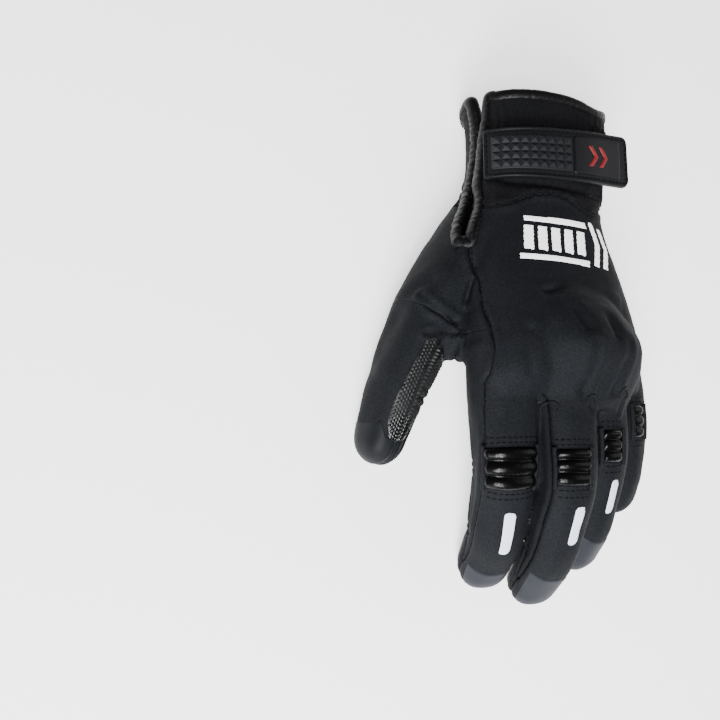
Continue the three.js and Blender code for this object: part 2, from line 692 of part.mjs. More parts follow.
function binding() {
  const path = bindingPath();
  const shape = new THREE.TorusGeometry(1, 0.5, BINDING_SIDES, BINDING_STEPS);
  const at = shape.attributes.position;
  for (let k = 0; k < at.count; k += 1) {
    const i = (k % (BINDING_STEPS + 1)) % BINDING_STEPS;
    const turn = (2 * Math.PI * (Math.floor(k / (BINDING_STEPS + 1)) % BINDING_SIDES)) / BINDING_SIDES;
    const p = path.getPointAt(i / BINDING_STEPS);
    const ahead = path.getTangentAt(i / BINDING_STEPS);
    const out = vec(p.x - PALM[0].x, 0, p.z - PALM[0].z);
    out.addScaledVector(ahead, -out.dot(ahead)).normalize();
    const beside = vec(0, 0, 0).crossVectors(ahead, out);
    p.addScaledVector(out, BINDING_RADIUS * Math.cos(turn)).addScaledVector(beside, BINDING_RADIUS * Math.sin(turn));
    at.setXYZ(k, p.x, p.y, p.z);
  }
  return geometryOf(solid(shape).subtract(floor));
}

function material(color, roughness, metalness = 0) {
  return new THREE.MeshStandardMaterial({ color, roughness, metalness });
}
const softshell = material(0x23262b, 0.85);
const stretch = material(0x1b1d21, 0.9);
const grip = material(0x1a1b1e, 0.6);
const gloss = material(0x111214, 0.3);
const rubber = material(0x26282c, 0.55);
const label = material(0x15161a, 0.5);
const reflective = material(0xc9ccd6, 0.35);
const tipGrey = material(0x8d9098, 0.45);
const woven = material(0xc9a227, 0.8);

const glove = new THREE.Group();
function piece(name, shape, finish) {
  const geometry = shape instanceof THREE.BufferGeometry ? shape : geometryOf(shape);
  geometry.computeVertexNormals();
  const mesh = new THREE.Mesh(geometry, finish);
  mesh.name = name;
  glove.add(mesh);
}

piece('back_panel', backPanel, softshell);
piece('thenar_panel', thenarPanel, softshell);
piece('palm_panel', palmPanel, softshell);
piece('index_side', indexSide, stretch);
piece('fourchette_index_middle', indexMiddle, stretch);
piece('fourchette_middle_ring', middleRing, stretch);
piece('fourchette_ring_little', ringLittle, stretch);
piece('little_side', littleSide, stretch);
piece('thumb_back', thumbBack, softshell);
piece('thumb_palm', thumbPalm, softshell);
piece('cuff_back', cuffBack, softshell);
piece('cuff_palm', cuffPalm, softshell);
piece('cuff_binding', binding(), gloss);
piece('wrist_strap', strap(), rubber);
piece('strap_studs', studPanel(), rubber);
piece('strap_label', strapLabel(), label);
piece('loop_patch', handPatch(LOOP_PATCH, 3, 4), stretch);
for (const name of Object.keys(RIBS)) piece(`${name}_ribs`, ribs(name), gloss);
for (const name of Object.keys(REFLECTORS)) piece(`${name}_reflector`, reflector(name), reflective);
for (const name of Object.keys(TIP_CAPS)) piece(`${name}_tip_cap`, tipCap(name), tipGrey);
for (const name of Object.keys(TOUCH_PADS)) piece(`${name}_touch_pad`, touchPad(name), grip);
piece('palm_grip_patch', gripPatch(), grip);
piece('thumb_grip_patch',
  digitPatch(DIGITS.thumb, THUMB_GRIP.from, THUMB_GRIP.to, THUMB_GRIP.arc, 5, 6, curveTop, CURVE_LIFT), grip);
piece('heel_patch', palmPatch(HEEL_OUTLINE, HEEL_TOP), rubber);
piece('side_label', handPatch(SIDE_LABEL, 4, 3), woven);

// The origin is at the middle of the glove's box, on the surface it lies on.
const box = new THREE.Box3().setFromObject(glove);
const centre = box.getCenter(vec(0, 0, 0));
glove.position.set(-centre.x, -centre.y, -box.min.z);

export default glove;
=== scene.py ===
"""A softshell riding glove for the left hand, lying palm down on a pale floor.

The cloth is one smooth hand, remeshed, given its padding and folds, and cut along its seams into the
panels that the CAD names. Trim, piping, strap, studs and stitches lie on that surface.
Lengths are in millimetres in the hand's own frame; add moves each piece into the row frame, in metres.
"""
import math

import bpy
import numpy as np
from mathutils import Matrix, Vector, noise
from mathutils.bvhtree import BVHTree
from mathutils.geometry import delaunay_2d_cdt
from mathutils.kdtree import KDTree


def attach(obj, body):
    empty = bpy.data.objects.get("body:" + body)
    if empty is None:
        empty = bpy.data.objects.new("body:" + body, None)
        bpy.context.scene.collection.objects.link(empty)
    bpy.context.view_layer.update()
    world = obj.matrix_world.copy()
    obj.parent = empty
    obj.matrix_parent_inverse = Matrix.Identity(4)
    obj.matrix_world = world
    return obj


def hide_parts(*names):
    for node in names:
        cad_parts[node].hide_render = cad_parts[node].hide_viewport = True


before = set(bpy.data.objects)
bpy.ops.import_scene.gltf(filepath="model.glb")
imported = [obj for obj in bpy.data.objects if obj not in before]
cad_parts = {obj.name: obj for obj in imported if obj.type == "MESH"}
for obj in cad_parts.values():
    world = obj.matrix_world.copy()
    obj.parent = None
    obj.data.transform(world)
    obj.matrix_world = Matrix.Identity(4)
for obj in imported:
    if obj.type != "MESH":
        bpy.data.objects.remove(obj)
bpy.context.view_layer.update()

# The hand's frame in the row frame, and the camera
SHIFT = np.array([13.06, -1.06, -1.12])
CAMERA_AT = (-0.1654, -0.0668, 0.3353)
CAMERA_TURN = (18.0, 10.0)
FOCAL_SHARE = 869 / 720
SENSOR_MM = 36.0

# Body
VOXEL = 0.85
SMOOTHING_ROUNDS = 8
SECTION_POWER = 2.5
TIP_POWER = 2.2
BEND_BLEND = 9.0
DIGIT_FLAT = 0.92
TIP_DOME = 1.1
CENTRELINE_STEPS = 160
HAND_SIDES = 120
DIGIT_SIDES = 64
WALL = 1.7
CUFF_Y = 102.0
PALM_LOFT_START = 114
WRIST_Y = 78.3
FLOOR_Z = 1.3
LOWEST_Z = 1.14

# y, x, z, half width, up, down, roll
PALM = np.array([
    (116, 3.5, 22, 30.6, 21, 21, 0),
    (102, 3.5, 22, 30.6, 21, 21, 0),
    (80, 2, 22, 29.4, 21, 21, 0),
    (54, -2.6, 24, 31.8, 21, 22, 4),
    (28, -1.2, 29, 36.3, 22, 23, 8),
    (2, 1, 34, 40, 22, 20, 14),
    (-14, 1.5, 36, 41.5, 18, 15, 17),
    (-22, 2, 36, 40, 12, 12, 18),
], float)
DOME = np.array([
    (23, 1, 42, 13, 9, 8, 11),
    (16.5, 2, 43, 19, 13, 8, 12),
    (9, 3.5, 44, 23, 16.8, 8, 13),
    (2, 5, 44, 25, 20.2, 8, 14),
    (-5, 6, 44, 25.5, 21, 8, 15),
    (-14, 7.5, 43, 25.5, 17, 8, 16),
    (-26, 7.5, 41, 22, 11, 8, 17),
], float)
# Root, bone lengths, pitch below level of each bone, yaw at the root and the tip, roll, half width at the
# root and the tip, and length of the taper behind the root
DIGIT_COLUMNS = ("root", "bones", "pitch", "yaw", "roll", "half", "taper")
DIGIT_ROWS = {
    "index": ((-26.2, -3, 42), (46, 29, 28), (1, 29, 52), (0, 8.0), -4, (13.3, 9.5), 0),
    "middle": ((-2.2, -5, 45.5), (50, 30, 29), (2, 31, 53), (1.2, 2.3), 8, (12.4, 9.5), 0),
    "ring": ((19, -3, 36), (41, 27, 25), (0, 26, 46), (2, 1), 22, (11.2, 9), 0),
    "little": ((35.2, 9, 24.5), (40, 19.5, 17), (-2, 16, 34), (5, 1), 36, (10.6, 8.8), 18.0),
    "thumb": ((-17, 53, 25), (47, 36, 31.6), (1, 8, 16), (-42, -12), -62, (19, 9.2), 0),
    "thumb_web": ((-22, 34, 29), (15, 15, 15), (0, -1, -3), (-27, -25), -20, (14, 8), 0),
}
DIGITS = {name: dict(zip(DIGIT_COLUMNS, row)) for name, row in DIGIT_ROWS.items()}
THUMB_WEB = DIGITS.pop("thumb_web")

# Start of the side strips on each side of a digit, and their half height at the start, halfway and at
# the tip
SIDES = {
    "index": ((-5, 17), (9.7, 4.5, 0.15)),
    "middle": ((14, 14), (5, 4.5, 0.15)),
    "ring": ((16, 16), (5, 4.5, 0.15)),
    "little": ((27, 3), (5, 4, 0.15)),
}
# Shares of a digit's length where its side strips begin to narrow, over which they do, and where they end
STRIP_TAPER = dict(start=0.5, over=0.42, end=0.86)
# How far beyond its half width a digit still has strips
STRIP_REACH = 2.5
# How far each digit's own cloth reaches, as a share of its radius
DIGIT_REACH = 1.25
THUMB_REACH = 1.35
# y, height of the back edge and of the palm edge above the section's centre
SLIT = np.array([
    (112, 12.5, -1),
    (102.6, 10.9, 1),
    (94, 9.2, 2.1),
    (84, 7.6, 2),
    (74, 7.8, 1.7),
    (66, 8.8, 2.4),
    (56, 11.4, 5.6),
    (47, 13.6, 8.1),
    (41, 13.9, 9.7),
    (38.4, 13.2, 10.8),
], float)
SLIT_END = 3.2
# The palm side of the cuff's mouth runs out into a point beside the slit, and the cuff's edge is cut lower
# towards the little finger's side: angles and widths in degrees round the wrist
HORN = dict(angle=184, width=15, reach=1.4, flare=0.8, start=92, blend=14)
DIP = dict(angle=56, width=24, depth=3.0)
# Angle round the wrist, y
CUFF_SEAM = np.array([
    (0, 64), (45, 54), (68, 59.3), (90, 61), (112, 60), (135, 55), (150, 53.5), (180, 64), (225, 79),
    (270, 81), (315, 77), (360, 64),
], float)
# y, height of the seam between the back and the palm, on each side of the hand
LITTLE_SEAM = np.array([(-6, 22), (2, 22), (28, 21), (54, 20), (122, 20)], float)
THUMB_SEAM = np.array([(-2, 38), (6, 31), (20, 24), (54, 25), (80, 24), (122, 24)], float)
# y, x of the seam between the thenar panel and the back
THENAR_SEAM = np.array([
    (-24, -38.6), (-15, -36.2), (-6, -34.6), (3, -34.7), (10, -35.8), (16, -35.7), (22, -35.6), (28, -36.6),
    (33, -38.2), (40, -38), (44, -36), (110, -36),
], float)
# Where the thumb's panels start along it, and where the seam at the side of each finger starts
THUMB_BASE = 53.0
FINGER_SEAM_START = 12
# A distance that no seam is compared at, and one beyond everything
FIELD_LIMIT = 20.0
FAR = 1e9

# Folds pressed into the cloth: width, depth, and points along each.
CREASES = [
    (1.0, 0.8, [(-13, 17.5, 55), (-4, 20.2, 56.5), (6, 21.3, 56.5), (16, 20.8, 53.2), (24, 18.5, 49)]),
    (1.5, -0.5, [(-8, 15, 56.5), (-3, 17, 57.8), (7, 17.8, 57.8), (17, 17.3, 54.5), (25, 15, 50)]),
    (1.6, 1.0, [(1.5, -4, 65), (1.8, -10, 62.5), (1.2, -15, 59.7), (-0.3, -21, 57)]),
    (1.6, 1.0, [(17, -2.4, 61), (16.4, -8.7, 59.6), (15.4, -14, 56.8), (14.3, -19.5, 54)]),
    (1.8, 0.6, [(-22, 0.7, 58), (-23.5, -7, 58.3), (-22.3, -14, 57)]),
    (0.9, 0.9, [(-54.3, 1.9, 35.6), (-48.4, 3.1, 35.5), (-41.8, 2.5, 36.6)]),
    (1.0, 1.2, [(-54.8, 16.6, 34.2), (-51.4, 12.2, 37.3), (-46, 9.1, 37), (-41.5, 6.5, 36.4),
                (-39.5, 2.4, 37.6), (-38.4, -1, 37.4), (-36.7, -5.4, 34.8)]),
    (1.3, 1.2, [(-36.2, 22.4, 39.7), (-37.2, 19, 38.6), (-38.2, 15.6, 37.7)]),
    (1.6, 0.9, [(-26, 69, 35), (-19.6, 64.5, 41.5), (-7.6, 64.6, 44), (6.3, 64.3, 43.8), (22.5, 64.4, 39)]),
    (0.9, 1.0, [(4.6, -26, 54), (5.6, -31, 51)]),
    (0.9, 1.0, [(20.8, -22, 50), (22.2, -27, 47)]),
    (2.5, 0.7, [(-52, 23, 36), (-60, 20, 32)]),
    (1.6, 1.0, [(-28, -6, 16), (0, -8, 16), (30, -6, 12)]),
    (1.6, 0.8, [(-30, 20, 10), (-6, 28, 6), (14, 44, 4)]),
]
# Broad hollows: width, depth, and points along each
HOLLOWS = [
    (2.8, 1.8, [(-4, 10, 62), (-1, 2, 65)]),
    (2.6, 1.8, [(11, 9, 62), (12.5, 0, 63)]),
    (5.0, 1.1, [(-62, 10, 26), (-67, 0, 22), (-70, -10, 18)]),
]
# The lip beside a fold, in shares of the fold's depth and width
FOLD_LIP = dict(height=0.5, at=2.4, width=1.4)
# Folds across the palm side of each joint: their shift along the digit and their share of the depth
PALM_FOLDS = dict(depth=0.9, width=0.9, wander=0.9, rows=((0, 1), (-3.6, 0.5), (3.6, 0.5)))
# Size and depth of the cloth's unevenness
UNEVEN = ((16.0, 0.5), (6.0, 0.16))
# Gathers across the cuff's edge and, on the back only, across the wrist
SHIRRING = dict(y=(88.0, 99.5), pitch=3.1, depth=0.14)
PUCKERS = dict(y=(57.0, 66.0), pitch=4.4, depth=0.22)
PUCKER_ARC = (62, 150)
# The groove at each seam, and the cloth puffed up beside it
GROOVE = dict(width=0.6, depth=0.85, puff=0.3, puff_at=2.0, puff_width=1.2)
# Where the seams at the root of the thumb lie flat: centre and radius
FLAT_WEB = ((-43, 3, 36), 6.5)
# The grooves fade towards the thumb's outer side
THUMB_OUTSIDE = dict(x=-52, x_blend=5, y=4, y_blend=4, share=0.9)

# Trim on the digits
BEADS = 3
# Middle and length along the digit, degrees round it, and height of the beads
RIBS = {
    "index": dict(middle=44.6, length=12.4, arc=(40, 152), high=1.6),
    "middle": dict(middle=42.8, length=12.2, arc=(72, 149), high=1.6),
    "ring": dict(middle=36.0, length=10.6, arc=(84, 145), high=1.4),
    "little": dict(middle=37.2, length=11.2, arc=(88, 140), high=0.9),
}
# Start and end along the digit, and degrees round it of each long side
REFLECTORS = {"index": (59.2, 76, 81, 99), "middle": (54.5, 70.8, 78.5, 95), "ring": (46.5, 61, 88, 106)}
# Degrees round the digit, and how far back from the tip the overlay starts there
TIP_CAPS = {
    "index": [(22, 14.5), (55, 15.6), (90, 15.7), (120, 16.3), (162, 17.6)],
    "middle": [(25, 20), (60, 22), (87, 23.5), (108, 23.8), (160, 25)],
    "ring": [(25, 19), (60, 20), (90, 21), (120, 22), (155, 23)],
    "thumb": [(-8, 12), (27, 12.7), (45, 15.5), (60, 17.5), (91, 15), (130, 14), (165, 13)],
}
# How far back from the tip each pad starts, and degrees round the digit of its two sides
TOUCH_PADS = {"index": 24, "middle": 24, "thumb": 30}
TOUCH_PAD_ARC = (205, 335)
# Distance along the thumb and degrees round it
THUMB_GRIP = [(68, -48), (66, -20), (62.5, -4), (60, 10), (62.6, 25), (69.4, 30), (77.7, 34), (86.2, 42),
              (96, 44), (103, 24), (103.5, 0), (101, -18), (92, -30), (84, -50)]

# Trim on the hand
# x, y and lowest z of each lip between two fingers, and the lip's radius
CROTCH_RADIUS = 2.4
CROTCHES = [(-11.6, -27.3, 47), (4.6, -24.4, 51), (20.8, -20.6, 47)]
# Corners in x and y
PALM_GRIP = [(-24, -13), (-9, -12), (5, -10), (18, -8), (30, -3), (31, 30), (7, 34), (4, 54), (-12, 48),
             (-27, 34), (-33, 16), (-30, 11), (-20, 13.4), (-14, 10), (-14, 5), (-19, 2.4), (-29, 5),
             (-31, 2)]
HEEL = [(8, 38), (25, 34), (14, 72)]
# Trim round the wrist: y and degrees, and millimetres to a degree there
WRIST_SCALE = 0.5
SIDE_LABEL = dict(y=(43, 61), angle=(-34, -12), blocks=3, first=2.4, pitch=5.0, block=3.2)
LOOP_PATCH = dict(y=(63, 95), angle=(18, 62))
# Corners of the printed bars in x and y, and of the slanted blocks, which are repeated every pitch
PRINT_BARS = [[(-16.6, 50.0), (12.8, 50.4), (13, 47.3), (-16.6, 47.3)],
              [(-20.6, 33.2), (11.5, 33.0), (11.0, 29.9), (-21.2, 30.2)]]
PRINT_BLOCKS = dict(count=5, start=-18.8, pitch=6.0,
                    corners=[(0, 34.6), (4.6, 34.4), (6.2, 45.6), (1.6, 45.8)])
# Left, top and bottom of each printed arrow
PRINT_ARROWS = [(13.8, 51.4, 30.6), (19.0, 49.8, 30.4)]

# Strap and binding
STRAP = dict(start=151, width=22.8, thickness=2.0, lift=3.1, wrap=50.0, tab=18.0, tilt=-3.0, bow=1.5,
             corner=3.5, taper=0.09)
STUDS = dict(start=4.0, columns=9, rows=4, pitch=3.6, base=3.5, height=1.2, plate=0.5)
# Outline of a stud from its base to its point: share of its width, share of its height
STUD_SHAPE = [(1, 0), (0.94, 0.22), (0.16, 1.0), (0.0, 1.05)]
STRAP_LABEL = dict(start=37.5, length=25.5, width=17.0, height=0.4)
# Corners of a chevron along and across the strap, and where each starts on the label
CHEVRON_CORNERS = [(0, -4.5), (2.2, -4.5), (5.4, 0), (2.2, 4.5), (0, 4.5), (3.2, 0)]
CHEVRON_STARTS = (7.0, 12.5)
# Half width and half thickness of the tape at the cuff, in the slit, and on the slit's palm side above
# the strap
BINDING_HALF = np.array([(2.3, 1.6), (2.9, 2.0), (3.2, 2.9)])
# Degrees round the cuff where the tape starts and ends, and how far it and the cloth under it lie beyond
# CUFF_Y
BINDING_ARC = (154, -182)
BINDING_OUT = 1.9
CUFF_CLOTH_OUT = 0.8
# The tape on the slit's palm side lies this much further in, from y on
PALM_TAPE_IN = dict(by=0.8, y=62, blend=10)

# Stitches, cords and tape
# Place along a stitch and share of its thickness there
STITCH_SHAPE = [(-1, 0.3), (-0.75, 1), (0, 1.1), (0.75, 1), (1, 0.3)]
STITCH_SIDES = 6
ROW_STEP = 0.8
CORD_SIDES = 10
WELT_RADIUS = 0.55
TAPE_SIDES = 20
# Rows beside a seam: its two panels, distance from it, and a point on that side
SEAM_STITCHES = [
    ("back_panel", "cuff_back", 1.7, (0, 90, 40)),
    ("palm_panel", "cuff_palm", 1.7, (0, 60, 0)),
    ("palm_panel", "cuff_palm", 3.4, (0, 60, 0)),
    ("back_panel", "thenar_panel", 1.3, (0, 20, 60)),
    ("back_panel", "index_side", 1.2, (0, -40, 70)),
]
PALM_STITCHES = [(-22, 25), (-4, 33), (12, 38), (34, 38)]

# Studio: place in metres, size and power of each light
LIGHTS = {
    "key": ((-0.3, -0.7, 0.58), 0.36, 19),
    "overhead": ((-0.32, -0.35, 0.75), 0.2, 7),
    "fill": ((0.6, 0.1, 0.5), 0.6, 2),
}
LIGHTS_AIM = (0, 0, 0.03)
WORLD_LIGHT = 0.24
FLOOR = dict(half=3, color=(0.93, 0.93, 0.93), glow=1.3)


# Small helpers
def unit(vector):
    return vector / np.linalg.norm(vector)


def unit_rows(rows):
    return rows / np.linalg.norm(rows, axis=1, keepdims=True)


def bell(distance, width):
    return np.exp(-(distance / width)**2)


def smoothstep(t):
    t = np.clip(t, 0, 1)
    return t * t * (3 - 2 * t)


def window(values, low, high, blend):
    return smoothstep((values - low) / blend + 0.5) * smoothstep((high - values) / blend + 0.5)


def round_angles(count):
    return np.linspace(0, 2 * np.pi, count, endpoint=False)


def running(line):
    """The distance along a polyline at each of its points."""
    return np.concatenate([[0], np.cumsum(np.linalg.norm(np.diff(line, axis=0), axis=1))])


def at_run(run, runs, line):
    return np.stack([np.interp(run, runs, line[:, k]) for k in range(line.shape[1])], -1)


def looped(line):
    return np.vstack([line, line[:1]])


def mesh_of(name, verts, faces):
    mesh = bpy.data.meshes.new(name)
    mesh.from_pydata(verts, [], faces)
    return mesh


def placed(name, data):
    """A new object in the scene."""
    thing = bpy.data.objects.new(name, data)
    bpy.context.scene.collection.objects.link(thing)
    return thing


def merged(parts):
    """Several meshes as one: vertices and faces."""
    verts, faces, start = [], [], 0
    for v, f in parts:
        verts.append(v)
        faces += [tuple(int(i) + start for i in face) for face in f]
        start += len(v)
    return np.vstack(verts), faces


# The hand's sections and the digits' centrelines
def sample(table, at):
    """The columns after the first, on a smooth curve through a table's rows."""
    rows = table if table[-1, 0] > table[0, 0] else table[::-1]
    key = rows[:, 0]
    value = min(max(at, key[0]), key[-1])
    i = max(int(min(np.searchsorted(key, value, side="left"), len(key) - 1)) - 1, 0)
    span = key[i + 1] - key[i]
    t = (value - key[i]) / span

    def slope(k):
        a, b = max(k - 1, 0), min(k + 1, len(key) - 1)
        return (rows[b, 1:] - rows[a, 1:]) / (key[b] - key[a])

    m, n = slope(i) * span, slope(i + 1) * span
    return ((2 * t**3 - 3 * t**2 + 1) * rows[i, 1:] + (t**3 - 2 * t**2 + t) * m
            + (3 * t**2 - 2 * t**3) * rows[i + 1, 1:] + (t**3 - t**2) * n)


def rounded(angle, half, up, down):
    c, s = np.cos(angle), np.sin(angle)
    power = 2 / SECTION_POWER
    u = half * np.sign(c) * np.abs(c)**power
    return u, np.where(s > 0, up, down) * np.sign(s) * np.abs(s)**power


def hand_points(table, y, angles, lift=0.0):
    """Points around the hand at y: angle 0 is the little finger's side, 90 degrees the back."""
    x, z, half, up, down, roll = sample(table, y)
    u, n = rounded(np.asarray(angles, float), half + lift, up + lift, down + lift)
    c, s = math.cos(math.radians(roll)), math.sin(math.radians(roll))
    return np.stack([x + u * c + n * s, np.full_like(u, y), z - u * s + n * c], -1)


def centreline(digit):
    first, second, third = digit["bones"]
    length = first + second + third
    s = np.linspace(0, length, CENTRELINE_STEPS + 1)
    p = digit["pitch"]
    pitch = np.radians(p[0] + (p[1] - p[0]) * smoothstep((s - first + BEND_BLEND) / (2 * BEND_BLEND))
                       + (p[2] - p[1]) * smoothstep((s - first - second + BEND_BLEND) / (2 * BEND_BLEND)))
    yaw = np.radians(digit["yaw"][0] + (digit["yaw"][1] - digit["yaw"][0]) * smoothstep(s / length))
    along = np.stack([np.cos(pitch) * np.sin(yaw), -np.cos(pitch) * np.cos(yaw), -np.sin(pitch)], -1)
    across = np.stack([np.cos(yaw), np.sin(yaw), 0 * yaw], -1)
    upwards = np.cross(along, across)
    step = length / CENTRELINE_STEPS
    at = np.array(digit["root"], float) + np.vstack([np.zeros(3), np.cumsum(along[1:], 0)]) * step
    roll = math.radians(digit["roll"])
    side = across * math.cos(roll) - upwards * math.sin(roll)
    back = upwards * math.cos(roll) + across * math.sin(roll)
    digit.update(length=length, s=s, at=at, along=along, side=side, back=back)


for digit in [*DIGITS.values(), THUMB_WEB]:
    centreline(digit)


def frame_of(digit, s):
    """Centre, forward, side and back directions of a digit at s."""
    x = min(max(s / digit["length"], 0), 1) * CENTRELINE_STEPS
    i = min(int(x), CENTRELINE_STEPS - 1)
    mix = [digit[k][i] * (1 - x + i) + digit[k][i + 1] * (x - i) for k in ("at", "along", "side", "back")]
    mix[0] = mix[0] + mix[1] * (min(s, 0) + max(s - digit["length"], 0))
    return mix


def half_at(digit, s):
    return digit["half"][0] + (digit["half"][1] - digit["half"][0]) * np.clip(s / digit["length"], 0, 1)


def tip_dome(digit):
    return digit["half"][1] * TIP_DOME


def digit_points(digit, s, angles):
    dome = tip_dome(digit)
    t = min(max((s - digit["length"] + dome) / dome, 0), 1)
    narrow = max(1 - t**TIP_POWER, 0)**(1 / TIP_POWER)
    if s < 0:
        narrow = 1 - (s / digit["taper"])**2
    half = float(half_at(digit, s))
    at, _, side, back = frame_of(digit, s)
    u, n = rounded(angles, half * narrow, half * DIGIT_FLAT * narrow, half * DIGIT_FLAT * narrow)
    return at + u[:, None] * side + n[:, None] * back


# Meshes as arrays: vertices in millimetres, faces as rows of indices
def loft(rings):
    """A closed mesh through rings of equal length, with a fan over each end."""
    count, sides = len(rings), len(rings[0])
    verts = np.vstack([*rings, [rings[0].mean(0)], [rings[-1].mean(0)]])
    k = np.arange(sides)
    faces = []
    for i in range(count - 1):
        a, b = i * sides + k, i * sides + (k + 1) % sides
        faces.append(np.stack([a, b, b + sides, a + sides], -1))
    quads = [tuple(f) for f in np.vstack(faces)]
    first, last = count * sides, count * sides + 1
    quads += [(first, int((j + 1) % sides), int(j)) for j in k]
    base = (count - 1) * sides
    quads += [(last, int(base + j), int(base + (j + 1) % sides)) for j in k]
    return verts, quads


def body_lofts():
    ring = round_angles(HAND_SIDES)
    parts = []
    for table, start, rings in ((PALM, PALM_LOFT_START, 90), (DOME, DOME[0, 0], 50)):
        parts.append(loft([hand_points(table, y, ring) for y in np.linspace(start, table[-1, 0], rings)]))
    narrow = round_angles(DIGIT_SIDES)
    for digit in [*DIGITS.values(), THUMB_WEB]:
        dome = tip_dome(digit)
        straight = np.linspace(-0.99 * digit["taper"], digit["length"] - dome, 80)
        turns = digit["length"] - dome + dome * np.sin(np.linspace(0.05, 0.995, 14) * np.pi / 2)
        parts.append(loft([digit_points(digit, s, narrow) for s in [*straight, *turns]]))
    return parts


def remeshed(parts, voxel):
    """One closed surface round all the parts, as triangles."""
    verts, faces = merged(parts)
    mesh = mesh_of("raw", verts.tolist(), faces)
    thing = placed("raw", mesh)
    remesh = thing.modifiers.new("voxels", "REMESH")
    remesh.mode = "VOXEL"
    remesh.voxel_size = voxel
    done = thing.evaluated_get(bpy.context.evaluated_depsgraph_get()).to_mesh()
    done.calc_loop_triangles()
    points = np.empty(len(done.vertices) * 3, np.float32)
    done.vertices.foreach_get("co", points)
    tris = np.empty(len(done.loop_triangles) * 3, np.int32)
    done.loop_triangles.foreach_get("vertices", tris)
    bpy.data.objects.remove(thing)
    bpy.data.meshes.remove(mesh)
    return points.reshape(-1, 3).astype(float), tris.reshape(-1, 3)


def edge_pairs(tris):
    return np.vstack([tris[:, [0, 1]], tris[:, [1, 2]], tris[:, [2, 0]]])


def edges_of(tris):
    return np.unique(np.sort(edge_pairs(tris), 1), axis=0)


def corner_cross(verts, tris):
    """Each triangle's normal, as long as twice its area."""
    a, b, c = (verts[tris[:, k]] for k in range(3))
    return np.cross(b - a, c - a)


def smoothed(verts, tris, rounds):
    edges = edges_of(tris)
    count = np.bincount(edges.ravel(), minlength=len(verts)).astype(float)
    verts = verts.copy()
    for _ in range(rounds):
        total = np.zeros_like(verts)
        np.add.at(total, edges[:, 0], verts[edges[:, 1]])
        np.add.at(total, edges[:, 1], verts[edges[:, 0]])
        verts += (total / count[:, None] - verts) * 0.5
    return verts


def normals_of(verts, tris):
    face = corner_cross(verts, tris)
    total = np.zeros_like(verts)
    for k in range(3):
        np.add.at(total, tris[:, k], face)
    return total / np.maximum(np.linalg.norm(total, axis=1, keepdims=True), 1e-9)


def tree_of(verts, tris):
    return BVHTree.FromPolygons(verts.tolist(), tris.tolist())


def digit_coordinates(verts):
    """For each digit: s along it, sideways u and backwards n from its centreline, and radius share."""
    found = {}
    for name, digit in DIGITS.items():
        at = digit["at"]
        best = np.full(len(verts), FAR)
        index = np.zeros(len(verts), int)
        for i in range(len(at)):
            d = ((verts - at[i])**2).sum(1)
            closer = d < best
            best[closer] = d[closer]
            index[closer] = i
        offset = verts - at[index]
        s = digit["s"][index] + (offset * digit["along"][index]).sum(1)
        u = (offset * digit["side"][index]).sum(1)
        n = (offset * digit["back"][index]).sum(1)
        found[name] = dict(s=s, u=u, n=n, share=np.hypot(u, n / DIGIT_FLAT) / half_at(digit, s))
    return found


# Padding, folds and wrinkles of the cloth
def line_distance(points, line):
    """Distance from each point to a polyline in space or in a plane."""
    best = np.full(len(points), FAR)
    line = np.asarray(line, float)
    for a, b in zip(line[:-1], line[1:]):
        ab = b - a
        t = np.clip(((points - a) @ ab) / (ab @ ab), 0, 1)
        best = np.minimum(best, np.linalg.norm(points - a - t[:, None] * ab, axis=1))
    return best


def noise_at(verts, size, offset):
    return np.array([noise.noise(Vector(v / size) + Vector(offset)) for v in verts])


def hand_angle(verts):
    centre = np.array([sample(PALM, v)[:2] for v in verts[:, 1]])
    return np.degrees(np.arctan2(verts[:, 2] - centre[:, 1], verts[:, 0] - centre[:, 0])) % 360


def share_round(row, angle):
    """Share of the horn or the dip at an angle round the wrist."""
    return bell((np.asarray(angle, float) - row["angle"] + 180) % 360 - 180, row["width"])


def edge_rise(angle):
    """How far the cuff's edge stands beyond its middle line at an angle round the wrist."""
    return HORN["reach"] * share_round(HORN, angle) - DIP["depth"] * share_round(DIP, angle)


def flare(y, angle):
    return -HORN["flare"] * share_round(HORN, angle) * smoothstep((y - HORN["start"]) / HORN["blend"])


def sculpted(verts, tris):
    at = digit_coordinates(verts)
    y = verts[:, 1]
    total = np.zeros(len(verts))
    for k, (size, depth) in enumerate(UNEVEN):
        total += depth * noise_at(verts, size, (3.1 * k, 7.7, 1.3))
    for width, depth, line in CREASES:
        d = line_distance(verts, line)
        lip = FOLD_LIP["height"] * bell(d - FOLD_LIP["at"] * width, FOLD_LIP["width"] * width)
        total += depth * (lip - bell(d, width))
    for width, depth, line in HOLLOWS:
        total -= depth * bell(line_distance(verts, line), width)
    for name, digit in DIGITS.items():
        s, u, n, share = (at[name][key] for key in ("s", "u", "n", "share"))
        mine = smoothstep((1.3 - share) / 0.2) * smoothstep(-n / 4 + 0.3)
        for joint in np.cumsum(digit["bones"])[:2]:
            wander = PALM_FOLDS["wander"] * np.sin(u / 3 + joint)
            for shift, part in PALM_FOLDS["rows"]:
                fold = bell(s - joint - shift + wander, PALM_FOLDS["width"])
                total -= PALM_FOLDS["depth"] * part * mine * fold
    angle = hand_angle(verts)
    turn = np.radians(angle) * PALM[1, 3] * 0.8
    for row, back_only in ((SHIRRING, False), (PUCKERS, True)):
        wander = 2.4 * noise_at(verts, 9, (row["pitch"], 0, 0))
        shape = row["depth"] * np.cos(2 * np.pi * turn / row["pitch"] + wander)
        here = window(y, *row["y"], 4)
        if back_only:
            here = here * window(angle, *PUCKER_ARC, 16)
        total += shape * here
    verts = verts + normals_of(verts, tris) * total[:, None]
    verts[:, 0] += flare(y, angle)
    verts[:, 2] = np.maximum(verts[:, 2], FLOOR_Z)
    return verts


